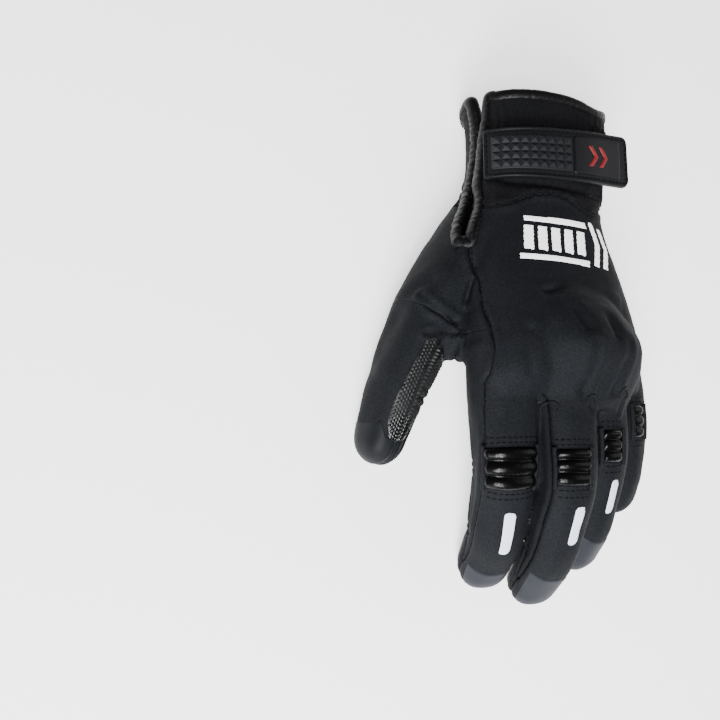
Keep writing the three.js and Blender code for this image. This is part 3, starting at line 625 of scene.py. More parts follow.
def split(verts, tris, value, extra):
    """Cuts the triangles along value = 0. extra holds more values per vertex, which follow the cut."""
    value = value.copy()
    edges = edges_of(tris)
    a, b = edges[:, 0], edges[:, 1]
    crossing = value[a] * value[b] < 0
    t = np.where(crossing, value[a] / np.where(crossing, value[a] - value[b], 1), 0)
    near_a, near_b = crossing & (t < 0.2), crossing & (t > 0.8)
    data = np.column_stack([verts, extra])
    moved = data.copy()
    for mask, here, there, share in ((near_a, a, b, t), (near_b, b, a, 1 - t)):
        part = share[mask][:, None]
        moved[here[mask]] = data[here[mask]] * (1 - part) + data[there[mask]] * part
        value[here[mask]] = 0
    data = moved
    crossing = value[a] * value[b] < 0
    t = value[a][crossing] / (value[a][crossing] - value[b][crossing])
    cut = edges[crossing]
    fresh = data[cut[:, 0]] * (1 - t)[:, None] + data[cut[:, 1]] * t[:, None]
    number = {(int(p), int(q)): len(verts) + i for i, (p, q) in enumerate(cut)}
    sign = np.sign(value[tris])
    mixed = (sign.max(1) > 0) & (sign.min(1) < 0)
    out = []
    for tri in tris[mixed]:
        v = value[tri]
        p, q, r = (int(i) for i in tri)
        zeros = np.nonzero(v == 0)[0]
        if len(zeros):
            p, q, r = ((p, q, r), (q, r, p), (r, p, q))[zeros[0]]
            m = number[(min(q, r), max(q, r))]
            out += [(p, q, m), (p, m, r)]
            continue
        lone = 0 if v[1] * v[2] > 0 else (1 if v[0] * v[2] > 0 else 2)
        p, q, r = ((p, q, r), (q, r, p), (r, p, q))[lone]
        m, n = number[(min(p, q), max(p, q))], number[(min(p, r), max(p, r))]
        out += [(p, m, n), (m, q, r), (m, r, n)]
    tris = np.vstack([tris[~mixed], np.array(out, int).reshape(-1, 3)])
    data = np.vstack([data, fresh])
    value = np.concatenate([value, np.zeros(len(fresh))])
    return data[:, :3], tris, value, data[:, 3:]


def table_at(table, values):
    return np.interp(values, table[:, 0], table[:, 1])


def polygon_distance(points, polygon):
    """Signed distance in a plane to a closed polygon, negative inside."""
    distance = line_distance(points, looped(polygon))
    inside = np.zeros(len(points), bool)
    for a, b in zip(polygon, np.roll(polygon, -1, 0)):
        crosses = (a[1] > points[:, 1]) != (b[1] > points[:, 1])
        with np.errstate(divide="ignore", invalid="ignore"):
            at = a[0] + (points[:, 1] - a[1]) / (b[1] - a[1]) * (b - a)[0]
        inside ^= crosses & (points[:, 0] < at)
    return np.where(inside, -distance, distance)


def slit_polygon():
    """The slit's outline in y and z, as seen from the thumb's side."""
    ys = np.linspace(112, SLIT[-1, 0], 60)
    rows = [(y, sample(PALM, y)[1], *sample(SLIT, y)) for y in ys]
    back = [(y, z + b) for y, z, b, p in rows]
    palm = [(y, z + p) for y, z, b, p in rows]
    end = rows[-1]
    return np.array([*back, (end[0] - SLIT_END, end[1] + (end[2] + end[3]) / 2), *palm[::-1]], float)


def strip_field(verts, coordinates):
    """Distance outside the strips along the digits' sides, and which strip is nearest."""
    best = np.full(len(verts), FIELD_LIMIT)
    which = np.full(len(verts), -1)
    for i, (name, (starts, height)) in enumerate(SIDES.items()):
        digit, at = DIGITS[name], coordinates[name]
        share = np.clip(at["s"] / digit["length"], 0, 1)
        taper = np.clip((share - STRIP_TAPER["start"]) / STRIP_TAPER["over"], 0, 1)
        high = np.where(share < STRIP_TAPER["start"], height[0] + (height[1] - height[0]) * share * 2,
                        height[1] + (height[2] - height[1]) * taper)
        for side, start in ((-1, starts[0]), (1, starts[1])):
            u = at["u"] * side
            past_side = u - half_at(digit, at["s"]) - STRIP_REACH
            past_end = at["s"] - STRIP_TAPER["end"] * digit["length"]
            field = np.maximum.reduce([np.abs(at["n"]) - high, start - at["s"], -u, past_side, past_end])
            closer = field < best
            best[closer] = field[closer]
            which[closer] = 2 * i + (side > 0)
    return best, which


def half_field(verts, coordinates):
    """Positive on the back of the hand and negative on the palm."""
    x, y, z = verts.T
    seam = np.where(x > 5, table_at(LITTLE_SEAM, y), table_at(THUMB_SEAM, y))
    field = z - seam
    owner = np.full(len(verts), DIGIT_REACH)
    for name, at in coordinates.items():
        start = THUMB_BASE if name == "thumb" else FINGER_SEAM_START
        mine = (at["share"] < owner) & (at["s"] > start)
        field[mine] = at["n"][mine]
        owner[mine] = at["share"][mine]
    return field


PANELS = ("back_panel", "thenar_panel", "palm_panel", "index_side", "fourchette_index_middle",
          "fourchette_middle_ring", "fourchette_ring_little", "little_side", "thumb_back", "thumb_palm",
          "cuff_back", "cuff_palm")
NUMBER = {name: i for i, name in enumerate(PANELS)}
# The panel of each side strip, from the index finger's thumb side on
STRIP_PANELS = (3, 4, 4, 5, 5, 6, 6, 7)
# Seams that lie flat, without a groove
PLAIN_SEAMS = (("thenar_panel", "index_side"), ("thenar_panel", "thumb_palm"), ("palm_panel", "thumb_back"),
               ("thenar_panel", "palm_panel"))


def cut_panels(verts, tris):
    """Cuts the body along its seams. Returns vertices, triangles and each triangle's panel number."""
    at = digit_coordinates(verts)
    x, y, z = verts.T
    strip, which = strip_field(verts, at)
    slit = polygon_distance(np.column_stack([y, z]), slit_polygon())
    angle = hand_angle(verts)
    fields = np.column_stack([
        y - CUFF_Y - CUFF_CLOTH_OUT - edge_rise(angle),
        np.where(x < -18, slit, FIELD_LIMIT),
        table_at(CUFF_SEAM, angle) - y,
        np.where(at["thumb"]["share"] < THUMB_REACH, THUMB_BASE - at["thumb"]["s"], FIELD_LIMIT),
        strip,
        half_field(verts, at),
        np.where(y < THENAR_SEAM[0, 0], FIELD_LIMIT, x - table_at(THENAR_SEAM, y)),
        which,
    ])
    for k in range(fields.shape[1] - 1):
        verts, tris, value, fields = split(verts, tris, fields[:, k], fields)
        fields[:, k] = value
    past_end, slit, cuff, thumb, strip, back, thenar, _ = fields[tris].mean(1).T
    nearest = np.rint(np.median(fields[tris][:, :, -1], axis=1)).astype(int)

    def by_side(upper, lower):
        return np.where(back > 0, NUMBER[upper], NUMBER[lower])
    panel = by_side("back_panel", "palm_panel")
    panel = np.where((back > 0) & (thenar < 0), NUMBER["thenar_panel"], panel)
    strips = (strip < 0) & (nearest >= 0)
    panel[strips] = np.array(STRIP_PANELS)[nearest[strips]]
    panel = np.where(thumb < 0, by_side("thumb_back", "thumb_palm"), panel)
    panel = np.where(cuff < 0, by_side("cuff_back", "cuff_palm"), panel)
    panel[(past_end > 0) | (slit < 0)] = -1
    return verts, tris, panel


def seam_pairs(tris, panel):
    """Edges shared by two panels: the two vertices and the two panel numbers."""
    pairs = np.sort(edge_pairs(tris), 1)
    owner = np.concatenate([panel, panel, panel])
    order = np.lexsort((pairs[:, 1], pairs[:, 0]))
    pairs, owner = pairs[order], owner[order]
    same = (pairs[1:] == pairs[:-1]).all(1)
    i = np.nonzero(same & (owner[1:] != owner[:-1]))[0]
    return np.column_stack([pairs[i], np.sort(np.column_stack([owner[i], owner[i + 1]]), 1)])


def grooved(verts, tris, seams):
    """Draws the cloth in at each seam and puffs it up beside it."""
    plain = np.zeros(len(seams), bool)
    for a, b in PLAIN_SEAMS:
        plain |= (seams[:, 2] == NUMBER[a]) & (seams[:, 3] == NUMBER[b])
    ends = np.unique(seams[(seams[:, 2] >= 0) & ~plain][:, :2])
    tree = KDTree(len(ends))
    for i in ends:
        tree.insert(verts[i], int(i))
    tree.balance()
    d = np.array([tree.find(v)[2] for v in verts])
    g = GROOVE
    amount = g["puff"] * bell(d - g["puff_at"], g["puff_width"]) - g["depth"] * bell(d, g["width"])
    x, y = verts[:, 0], verts[:, 1]
    o = THUMB_OUTSIDE
    outside = smoothstep((o["x"] - x) / o["x_blend"]) * smoothstep((y - o["y"]) / o["y_blend"])
    web = np.exp(-(np.linalg.norm(verts - FLAT_WEB[0], axis=1) / FLAT_WEB[1])**4)
    amount *= (1 - o["share"] * outside) * (1 - web)
    verts = verts + normals_of(verts, tris) * amount[:, None]
    verts[:, 2] = np.maximum(verts[:, 2], FLOOR_Z)
    return verts


def chain(edges, verts):
    """Joins edges into polylines of points, longest first."""
    links = {}
    for a, b in edges:
        links.setdefault(int(a), []).append(int(b))
        links.setdefault(int(b), []).append(int(a))
    used, lines = set(), []
    starts = sorted(links, key=lambda i: len(links[i]) != 1)
    for start in starts:
        for second in links[start]:
            if (min(start, second), max(start, second)) in used:
                continue
            line = [start]
            here, ahead = start, second
            while ahead is not None:
                used.add((min(here, ahead), max(here, ahead)))
                line.append(ahead)
                options = [k for k in links[ahead] if (min(ahead, k), max(ahead, k)) not in used]
                here, ahead = ahead, (options[0] if options else None)
            lines.append(verts[line])
    return sorted(lines, key=len, reverse=True)


def resampled(line, step, closed=False):
    """Points about step apart along a polyline."""
    line = looped(line) if closed else np.asarray(line, float)
    lengths = running(line)
    count = max(int(round(lengths[-1] / step)), 2)
    at = np.linspace(0, lengths[-1], count + 1)
    if closed:
        at = at[:-1]
    return at_run(at, lengths, line)


def relaxed(line, rounds):
    line = line.copy()
    for _ in range(rounds):
        line[1:-1] = (line[:-2] + 2 * line[1:-1] + line[2:]) / 4
    return line


def curve_through(points, step, closed=False):
    """A smooth curve through points, sampled every step."""
    points = np.asarray(points, float)
    count = len(points)
    out = []
    spans = count if closed else count - 1
    for i in range(spans):
        near = range(i - 1, i + 3)
        p = [points[k % count if closed else min(max(k, 0), count - 1)] for k in near]
        steps = max(int(np.linalg.norm(p[2] - p[1]) / step * 2), 2)
        for t in np.linspace(0, 1, steps, endpoint=False):
            out.append(0.5 * (2 * p[1] + (p[2] - p[0]) * t + (2 * p[0] - 5 * p[1] + 4 * p[2] - p[3]) * t**2
                              + (3 * p[1] - p[0] - 3 * p[2] + p[3]) * t**3))
    if not closed:
        out.append(points[-1])
    return resampled(out, step, closed)


# Materials
RAMP_STOPS = (0.32, 0.68)


def shader_of(name, color, roughness, specular):
    made = bpy.data.materials.new(name)
    made.use_nodes = True
    shader = made.node_tree.nodes["Principled BSDF"]
    shader.inputs["Base Color"].default_value = (*color, 1)
    shader.inputs["Roughness"].default_value = roughness
    shader.inputs["Specular IOR Level"].default_value = specular
    return made, made.node_tree, shader


def noise_node(tree, scale, detail=2.0):
    place = tree.nodes.new("ShaderNodeTexCoord")
    node = tree.nodes.new("ShaderNodeTexNoise")
    node.inputs["Scale"].default_value = scale
    node.inputs["Detail"].default_value = detail
    tree.links.new(place.outputs["Object"], node.inputs["Vector"])
    return node


def bumped(tree, shader, height, strength, distance):
    bump = tree.nodes.new("ShaderNodeBump")
    bump.inputs["Strength"].default_value = strength
    bump.inputs["Distance"].default_value = distance
    tree.links.new(height, bump.inputs["Height"])
    tree.links.new(bump.outputs["Normal"], shader.inputs["Normal"])


def speckled(tree, shader, height, dark, light):
    ramp = tree.nodes.new("ShaderNodeValToRGB")
    for stop, position, color in zip(ramp.color_ramp.elements, RAMP_STOPS, (dark, light)):
        stop.position = position
        stop.color = (*color, 1)
    tree.links.new(height, ramp.inputs["Fac"])
    tree.links.new(ramp.outputs["Color"], shader.inputs["Base Color"])


def woven(name, dark, light, scale, roughness):
    """Matt cloth with fine mottled threads."""
    made, tree, shader = shader_of(name, light, roughness, 0.12)
    fine = noise_node(tree, scale)
    speckled(tree, shader, fine.outputs["Fac"], dark, light)
    bumped(tree, shader, fine.outputs["Fac"], 0.5, 0.0003)
    return made


def smooth_finish(name, color, roughness, scale, strength, specular):
    """A smooth surface with a faint uneven grain."""
    made, tree, shader = shader_of(name, color, roughness, specular)
    grain = noise_node(tree, scale, 3.0)
    bumped(tree, shader, grain.outputs["Fac"], strength, 0.0004)
    return made


def pebbled(name, dark, light, scale, roughness):
    """Rubber with a fine grain, worn shiny in places."""
    made, tree, shader = shader_of(name, dark, roughness[1], 0.28)
    place = tree.nodes.new("ShaderNodeTexCoord")
    cells = tree.nodes.new("ShaderNodeTexVoronoi")
    cells.inputs["Scale"].default_value = scale
    tree.links.new(place.outputs["Object"], cells.inputs["Vector"])
    speckled(tree, shader, cells.outputs["Distance"], light, dark)
    worn = tree.nodes.new("ShaderNodeMapRange")
    worn.inputs["From Min"].default_value = 0.4
    worn.inputs["From Max"].default_value = 0.6
    worn.inputs["To Min"].default_value = roughness[1]
    worn.inputs["To Max"].default_value = roughness[0]
    tree.links.new(noise_node(tree, 65).outputs["Fac"], worn.inputs["Value"])
    tree.links.new(worn.outputs["Result"], shader.inputs["Roughness"])
    return made


CLOTH = woven("softshell_weave", (0.0022, 0.0028, 0.0038), (0.0068, 0.0078, 0.0103), 1500, 0.75)
KNIT = woven("side_knit", (0.0018, 0.0022, 0.003), (0.0056, 0.0064, 0.0082), 1900, 0.8)
CUFF_CLOTH = woven("cuff_weave", (0.0012, 0.0012, 0.0018), (0.0048, 0.005, 0.0062), 1700, 0.8)
LINING = woven("lining_knit", (0.012, 0.012, 0.014), (0.05, 0.049, 0.053), 1200, 0.9)
LOOPS = woven("loop_pile", (0.001, 0.001, 0.0015), (0.008, 0.008, 0.01), 900, 0.9)
GLOSS = smooth_finish("glossy_coating", (0.0007, 0.0007, 0.0009), 0.27, 900, 0.3, 0.15)
PIPING = smooth_finish("glossy_piping", (0.0016, 0.0016, 0.0021), 0.45, 700, 0.4, 0.16)
RUBBER = smooth_finish("strap_rubber", (0.0042, 0.0045, 0.0055), 0.5, 1400, 0.25, 0.15)
STUD_RUBBER = smooth_finish("stud_rubber", (0.0095, 0.01, 0.0118), 0.6, 1400, 0.2, 0.12)
LABEL = smooth_finish("label_satin", (0.003, 0.0031, 0.0042), 0.42, 2000, 0.1, 0.2)
CHEVRON = smooth_finish("label_red", (0.19, 0.012, 0.014), 0.5, 1500, 0.1, 0.2)
TIP = smooth_finish("tip_overlay", (0.0145, 0.016, 0.0212), 0.55, 1500, 0.1, 0.12)
TIP_DARK = smooth_finish("thumb_tip_overlay", (0.0042, 0.005, 0.0066), 0.55, 1500, 0.1, 0.12)
SILVER = smooth_finish("silver_film", (0.6, 0.62, 0.74), 0.5, 2600, 0.12, 0.3)
PRINT = smooth_finish("white_print", (0.9, 0.9, 0.91), 0.6, 1500, 0.1, 0.2)
# The silver film and the white print also glow. This is painted brightness, since neither of them is a lamp.
for film, glow in ((SILVER, 0.6), (PRINT, 1.0)):
    shader = film.node_tree.nodes["Principled BSDF"]
    shader.inputs["Emission Color"].default_value = shader.inputs["Base Color"].default_value
    shader.inputs["Emission Strength"].default_value = glow
THREAD = smooth_finish("black_thread", (0.0015, 0.0015, 0.002), 0.65, 2500, 0.3, 0.1)
LIGHT_THREAD = smooth_finish("grey_thread", (0.012, 0.0125, 0.015), 0.65, 2500, 0.3, 0.1)
GRIP = pebbled("pebbled_grip", (0.002, 0.0024, 0.0027), (0.005, 0.0057, 0.0062), 900, (0.2, 0.75))
YELLOW = smooth_finish("label_yellow", (0.5, 0.43, 0.16), 0.7, 1800, 0.2, 0.2)
BROWN = smooth_finish("label_brown", (0.011, 0.01, 0.005), 0.7, 1800, 0.2, 0.2)


# Objects
def add(name, verts, faces, finish, slot, nodes=(), smooth=True):
    """One piece of the glove, from points in the hand's frame."""
    verts = np.array(verts, float)
    verts[:, 2] = np.maximum(verts[:, 2], LOWEST_Z)
    mesh = mesh_of(name, ((verts + SHIFT) / 1000).tolist(), [tuple(int(i) for i in f) for f in faces])
    mesh.materials.append(finish)
    mesh.polygons.foreach_set("use_smooth", [smooth] * len(mesh.polygons))
    mesh.update()
    thing = placed(name, mesh)
    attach(thing, "root")
    if nodes:
        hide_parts(*nodes)
    return thing


def panel_piece(name, verts, faces, finish, slot):
    used, index = np.unique(faces, return_inverse=True)
    thing = add(name + "_cloth", verts[used], index.reshape(-1, 3), finish, slot, [name])
    thing.data.materials.append(LINING)
    wall = thing.modifiers.new("wall", "SOLIDIFY")
    wall.thickness = WALL / 1000
    wall.offset = -1
    wall.material_offset = 1


# Surfaces that trim is laid on: each gives a point and the outward direction at u, v
class Surface:
    def __init__(self, verts, tris):
        self.tree = tree_of(verts, tris)

    def hit(self, origin, direction):
        direction = Vector(direction).normalized()
        point, normal, _, _ = self.tree.ray_cast(Vector(origin), direction)
        if point is None:
            point, normal, _, _ = self.tree.find_nearest(Vector(origin))
        return np.array(point), np.array(normal)

    def digit(self, name):
        """u runs along the digit and v is degrees round it, 90 on its back."""
        digit = DIGITS[name]
        straight = digit["length"] - tip_dome(digit)

        def place(u, v):
            at, along, side, back = frame_of(digit, min(u, straight))
            c, s = rounded(np.array(math.radians(v)), 1, DIGIT_FLAT, DIGIT_FLAT)
            out = c * side + s * back
            turn = min(max(u - straight, 0) / tip_dome(digit), 1) * math.pi / 2
            out = unit(out) * math.cos(turn) + along * math.sin(turn)
            return self.hit(at, out)
        return place

    def wrist(self, u, v):
        """u is y along the hand and v is degrees round it, 90 on its back."""
        x, z = sample(PALM, u)[:2]
        return self.hit((x, u, z), hand_points(PALM, u, [math.radians(v)])[0] - (x, u, z))

    def top(self, u, v):
        return self.hit((u, v, 120), (0, 0, -1))

    def bottom(self, u, v):
        return self.hit((u, v, -40), (0, 0, 1))


def spots_on(place, rows):
    """The points and the outward directions of a surface at rows of u, v."""
    spots = [place(u, v) for u, v in rows]
    return np.array([s[0] for s in spots]), np.array([s[1] for s in spots])


def degree_at(name, s):
    """Millimetres to a degree round a digit at s."""
    return math.radians(1) * float(half_at(DIGITS[name], s))


def outline_of(points, cell, corner=0.0):
    """A closed outline sampled every cell, with its corners cut round."""
    points = np.asarray(points, float)
    if corner:
        out = []
        for i, p in enumerate(points):
            before, after = points[i - 1] - p, points[(i + 1) % len(points)] - p
            a, b = unit(before), unit(after)
            reach = min(corner, np.linalg.norm(before) / 2, np.linalg.norm(after) / 2)
            for t in np.linspace(0, 1, 7):
                out.append(p + a * reach * (1 - t)**2 + b * reach * t**2)
        points = np.array(out)
    return resampled(points, cell, True)


def box_outline(u, v, cell, corner=0.0):
    return outline_of([(u[0], v[0]), (u[1], v[0]), (u[1], v[1]), (u[0], v[1])], cell, corner)


def tiled(edge, cell):
    """Triangles filling an outline: points in the plane, triangles, and depth inside the outline."""
    low, high = edge.min(0), edge.max(0)
    columns = np.arange(low[0] + cell / 2, high[0], cell)
    rows = np.arange(low[1] + cell / 2, high[1], cell * 0.87)
    grid = np.array([(u + (cell / 2 if k % 2 else 0), v) for k, v in enumerate(rows) for u in columns])
    if len(grid):
        grid = grid[polygon_distance(grid, edge) < -0.45 * cell]
    points = np.vstack([edge, grid]) if len(grid) else edge
    made = delaunay_2d_cdt([Vector(p) for p in points], [], [list(range(len(edge)))], 1, 1e-5)
    flat = np.array([tuple(p) for p in made[0]])
    tris = np.array([tuple(f) for f in made[2]], int)
    return flat, tris, -polygon_distance(flat, edge)


def facing_out(points, tris, outs):
    inward = (corner_cross(points, tris) * outs[tris[:, 0]]).sum() < 0
    return tris[:, ::-1] if inward else tris


def laid(edge, place, height, cell, round_edge, relief=None, scale=(1, 1), sink=0.35):
    """A patch of cloth or rubber laid on a surface, its edge rounded down into it."""
    flat, tris, depth = tiled(edge * scale, cell)
    flat = flat / scale
    points, outs = spots_on(place, flat)
    t = np.clip(depth / round_edge, 0, 1)
    lift = (height + sink) * np.sqrt(1 - (1 - t)**2) - sink
    if relief is not None:
        lift = lift + relief(flat[:, 0], flat[:, 1], depth) * smoothstep(depth / round_edge)
    points = points + outs * lift[:, None]
    return points, facing_out(points, tris, outs)


def slab(edge, place, low, high, cell, round_edge, relief=None):
    """A closed plate over a surface between two heights, its upper edge rounded."""
    flat, tris, depth = tiled(edge, cell)
    base, outs = spots_on(place, flat)
    drop = 1 - np.sqrt(1 - (1 - np.clip(depth / round_edge, 0, 1))**2)
    lift = high - round_edge * drop
    if relief is not None:
        lift = lift + relief(flat[:, 0], flat[:, 1], depth)
    upper, lower = base + outs * lift[:, None], base + outs * (low + 0.5 * round_edge * drop)[:, None]
    tris = facing_out(base, tris, outs)
    count = len(flat)
    pairs = dict.fromkeys(map(tuple, edge_pairs(tris).tolist()))
    rim = [(q, p, p + count, q + count) for p, q in pairs if (q, p) not in pairs]
    faces = [tuple(f) for f in tris] + [tuple(f) for f in (tris[:, ::-1] + count)] + rim
    return np.vstack([upper, lower]), faces


# Stitches
def stitch(at, ahead, out, length, radius):
    beside = np.cross(out, ahead)
    turn = round_angles(STITCH_SIDES)
    rings = []
    for place, share in STITCH_SHAPE:
        ring = at + ahead * place * length / 2 - out * radius * 0.7 * place**2
        rings.append(ring + radius * share * (np.cos(turn)[:, None] * beside + np.sin(turn)[:, None] * out))
    return loft(rings)


def stitches(lines, pitch=2.2, length=1.6, radius=0.24, sunk=0.35):
    """Stitches along lines of (points, outward directions) pairs."""
    parts = []
    for points, outs in lines:
        runs = running(points)
        for run in np.arange(pitch / 2, runs[-1] - pitch / 3, pitch):
            at = at_run(run, runs, points)
            ahead = at_run(run + 0.4, runs, points) - at
            if np.linalg.norm(ahead) < 1e-6:
                continue
            ahead = unit(ahead)
            out = at_run(run, runs, outs)
            out = out - ahead * (out @ ahead)
            out = out / max(np.linalg.norm(out), 1e-6)
            parts.append(stitch(at + out * radius * sunk, ahead, out, length, radius))
    return merged(parts)


def row_on(place, line):
    """A line in a surface's own u, v laid onto it."""
    return spots_on(place, resampled(line, ROW_STEP))


def beside_seam(line, tree, offset, towards):
    """A line on the surface at a distance beside a seam, on the side nearer to a point."""
    line = relaxed(resampled(line, ROW_STEP), 4)
    ahead = np.gradient(line, axis=0)
    points, outs = [], []
    for p, a in zip(line, ahead):
        _, normal, _, _ = tree.find_nearest(Vector(p))
        side = np.cross(np.array(normal), a)
        side = side / max(np.linalg.norm(side), 1e-6)
        if side @ (np.asarray(towards) - p) < 0:
            side = -side
        spot, out, _, _ = tree.find_nearest(Vector(p + side * offset))
        points.append(spot)
        outs.append(out)
    return relaxed(np.array(points), 2), np.array(outs)


def tube(path, half_out, half_side, outs, sides, ripple=None, closed=True):
    """A tube with an oval section round a path, given the outward direction at each point."""
    ahead = unit_rows(np.roll(path, -1, 0) - np.roll(path, 1, 0) if closed else np.gradient(path, axis=0))
    outs = unit_rows(outs - ahead * (outs * ahead).sum(1, keepdims=True))
    beside = np.cross(ahead, outs)
    turn = round_angles(sides)
    half_out, half_side = (np.broadcast_to(h, (len(path), 1)) for h in (half_out, half_side))
    verts = []
    for i, p in enumerate(path):
        share = 1 if ripple is None else ripple(i, turn)
        c, s = np.cos(turn) * share, np.sin(turn) * share
        verts.append(p + half_out[i] * c[:, None] * outs[i] + half_side[i] * s[:, None] * beside[i])
    if not closed:
        return loft(verts)
    faces = []
    for i in range(len(path)):
        j = (i + 1) % len(path)
        faces += [(i * sides + k, i * sides + (k + 1) % sides, j * sides + (k + 1) % sides, j * sides + k)
                  for k in range(sides)]
    return np.vstack(verts), faces


# The cloth
def cloth_of(name):
    if name.startswith("cuff"):
        return CUFF_CLOTH
    return KNIT if name.startswith("fourchette") or name == "little_side" else CLOTH


def build_cloth():
    verts, tris = remeshed(body_lofts(), VOXEL)
    verts = smoothed(verts, tris, SMOOTHING_ROUNDS)
    verts = sculpted(verts, tris)
    verts, tris, panel = cut_panels(verts, tris)
    seams = seam_pairs(tris, panel)
    verts = grooved(verts, tris, seams)
    for i, name in enumerate(PANELS):
        slot = "stretch" if i in STRIP_PANELS else "softshell"
        panel_piece(name, verts, tris[panel == i], cloth_of(name), slot)
    return verts, tris, panel, seams


verts, tris, panel, seams = build_cloth()
whole = Surface(verts, tris)
kept = tree_of(verts, tris[panel >= 0])


# Trim on the digits
def rib_patch(name):
    """The ribbed guard on a joint. Returns the lines of its stitches."""
    row, place = RIBS[name], whole.digit(name)
    length = row["length"]
    start = row["middle"] - length / 2
    scale = degree_at(name, row["middle"])
    low, high = row["arc"]
    edge = box_outline((start, start + length), (low * scale, high * scale), 0.42, 1.0) / (1, scale)

    def relief(u, v, depth):
        bead = np.abs(np.sin(np.pi * BEADS * (u - start) / length))**0.75
        ends = smoothstep(np.minimum(v - low, high - v) * scale / 2.4)
        return row["high"] * bead * ends
    beads = laid(edge, place, height=0.08, cell=0.4, round_edge=0.6, relief=relief, scale=(1, scale))
    add(name + "_ribs_beads", *beads, GLOSS, "gloss", [name + "_ribs"])
    cords = []
    for v in (low + 0.5 / scale, high - 0.5 / scale):
        line, outs = spots_on(place, [(u, v) for u in np.linspace(start - 0.6, start + length + 0.6, 30)])
        cords.append(tube(line + outs * 0.35, 0.95, 1.0, outs, CORD_SIDES, closed=False))
    add(name + "_ribs_cords", *merged(cords), CLOTH, "gloss")
    ends = (start - 3.1, start - 1.2, start + length + 1.1, start + length + 3.0)
    return [row_on(place, [(at, low + 3), (at, high - 3)]) for at in ends]


def reflector(name):
    start, end, low, high = REFLECTORS[name]
    scale = degree_at(name, start)
    low, high = low * scale, high * scale
    edge = box_outline((start, end), (low, high), 0.35, (high - low) / 2) / (1, scale)
    film = laid(edge, whole.digit(name), height=0.22, cell=0.5, round_edge=0.25, scale=(1, scale), sink=0.15)
    add(name + "_reflector_film", *film, SILVER, "reflective", [name + "_reflector"])


def tip_cap(name):
    digit = DIGITS[name]
    scale = math.radians(1) * digit["half"][1]
    length = digit["length"]
    start = curve_through([(length - back, v * scale) for v, back in TIP_CAPS[name]], 0.5)
    low, high = start[0, 1], start[-1, 1]
    edge = outline_of([*start, (length - 0.3, high), (length - 0.3, low)], 0.5) / (1, scale)
    overlay = laid(edge, whole.digit(name), height=0.22, cell=0.6, round_edge=0.4, scale=(1, scale), sink=0.2)
    add(name + "_tip_overlay", *overlay, TIP_DARK if name == "thumb" else TIP, "tip", [name + "_tip_cap"])


def touch_pad(name):
    """The pad under a fingertip. Returns the line of its stitches."""
    digit, place = DIGITS[name], whole.digit(name)
    scale = math.radians(1) * digit["half"][1]
    start, end = digit["length"] - TOUCH_PADS[name], digit["length"] + 1.0
    low, high = (a * scale for a in TOUCH_PAD_ARC)
    edge = outline_of([(start, low), (start, high), (end, high), (end, low)], 0.5, 5) / (1, scale)
    pad = laid(edge, place, height=0.4, cell=0.6, round_edge=0.7, scale=(1, scale))
    add(name + "_touch_panel", *pad, GRIP, "grip", [name + "_touch_pad"])
    back, left, right = start + 1.3, (low + 1.6) / scale, (high - 1.6) / scale
    return row_on(place, [(end - 6, left), (back + 3, left), (back, left + 14), (back, right - 14),
                          (back + 3, right), (end - 6, right)])


# Trim on the hand
def pebbles(pitch, height, scale=1):
    """Raised pebbles in staggered rows, on a surface with scale millimetres to a step in v."""
    def relief(u, v, depth):
        v = v * scale
        row = np.floor(v / (pitch * 0.87))
        du = (u / pitch + 0.5 * (row % 2)) % 1 - 0.5
        dv = (v / (pitch * 0.87)) % 1 - 0.5
        return height * np.clip(1 - (du**2 + dv**2) / 0.19, 0, 1)**0.6 * smoothstep((depth - 0.8) / 0.6)
    return relief


def thumb_grip():
    scale = degree_at("thumb", 75)
    edge = outline_of(np.array(THUMB_GRIP) * (1, scale), 0.4, 1.5) / (1, scale)
    bumps = pebbles(1.5, 0.42, scale)
    place = whole.digit("thumb")
    patch = laid(edge, place, height=0.3, cell=0.4, round_edge=0.5, relief=bumps, scale=(1, scale))
    add("thumb_grip_pebbles", *patch, GRIP, "grip", ["thumb_grip_patch"])


def palm_grip():
    """The grip patch on the palm. Returns the line of its stitches."""
    edge = outline_of(PALM_GRIP, 0.6, 2.5)
    patch = laid(edge, whole.bottom, height=0.4, cell=0.6, round_edge=0.8, relief=pebbles(2.0, 0.35))
    add("palm_grip_pebbles", *patch, GRIP, "grip", ["palm_grip_patch"])
    centre = edge.mean(0)
    return row_on(whole.bottom, looped(centre + (edge - centre) * 0.955))


def heel_patch():
    def relief(u, v, depth):
        rim = bell(depth - 1.2, 0.5)
        bars = 0.5 + 0.5 * np.cos(2 * np.pi * (v + 0.1 * u) / 3.4)
        return 0.5 * rim + 0.7 * bars**0.7 * smoothstep((depth - 2.2) / 0.5)
    edge = outline_of(HEEL, 0.5, 2.0)
    patch = laid(edge, whole.bottom, height=0.5, cell=0.45, round_edge=0.5, relief=relief)
    add("heel_patch_rubber", *patch, RUBBER, "rubber", ["heel_patch"])


def wrist_box(y, angle, cell, corner=0.0):
    """The outline of a box on the wrist, in y and degrees."""
    low, high = (a * WRIST_SCALE for a in angle)
    return box_outline(y, (low, high), cell, corner) / (1, WRIST_SCALE)


def on_wrist(edge, height, cell, round_edge, relief=None):
    return laid(edge, whole.wrist, height, cell, round_edge, relief, (1, WRIST_SCALE))


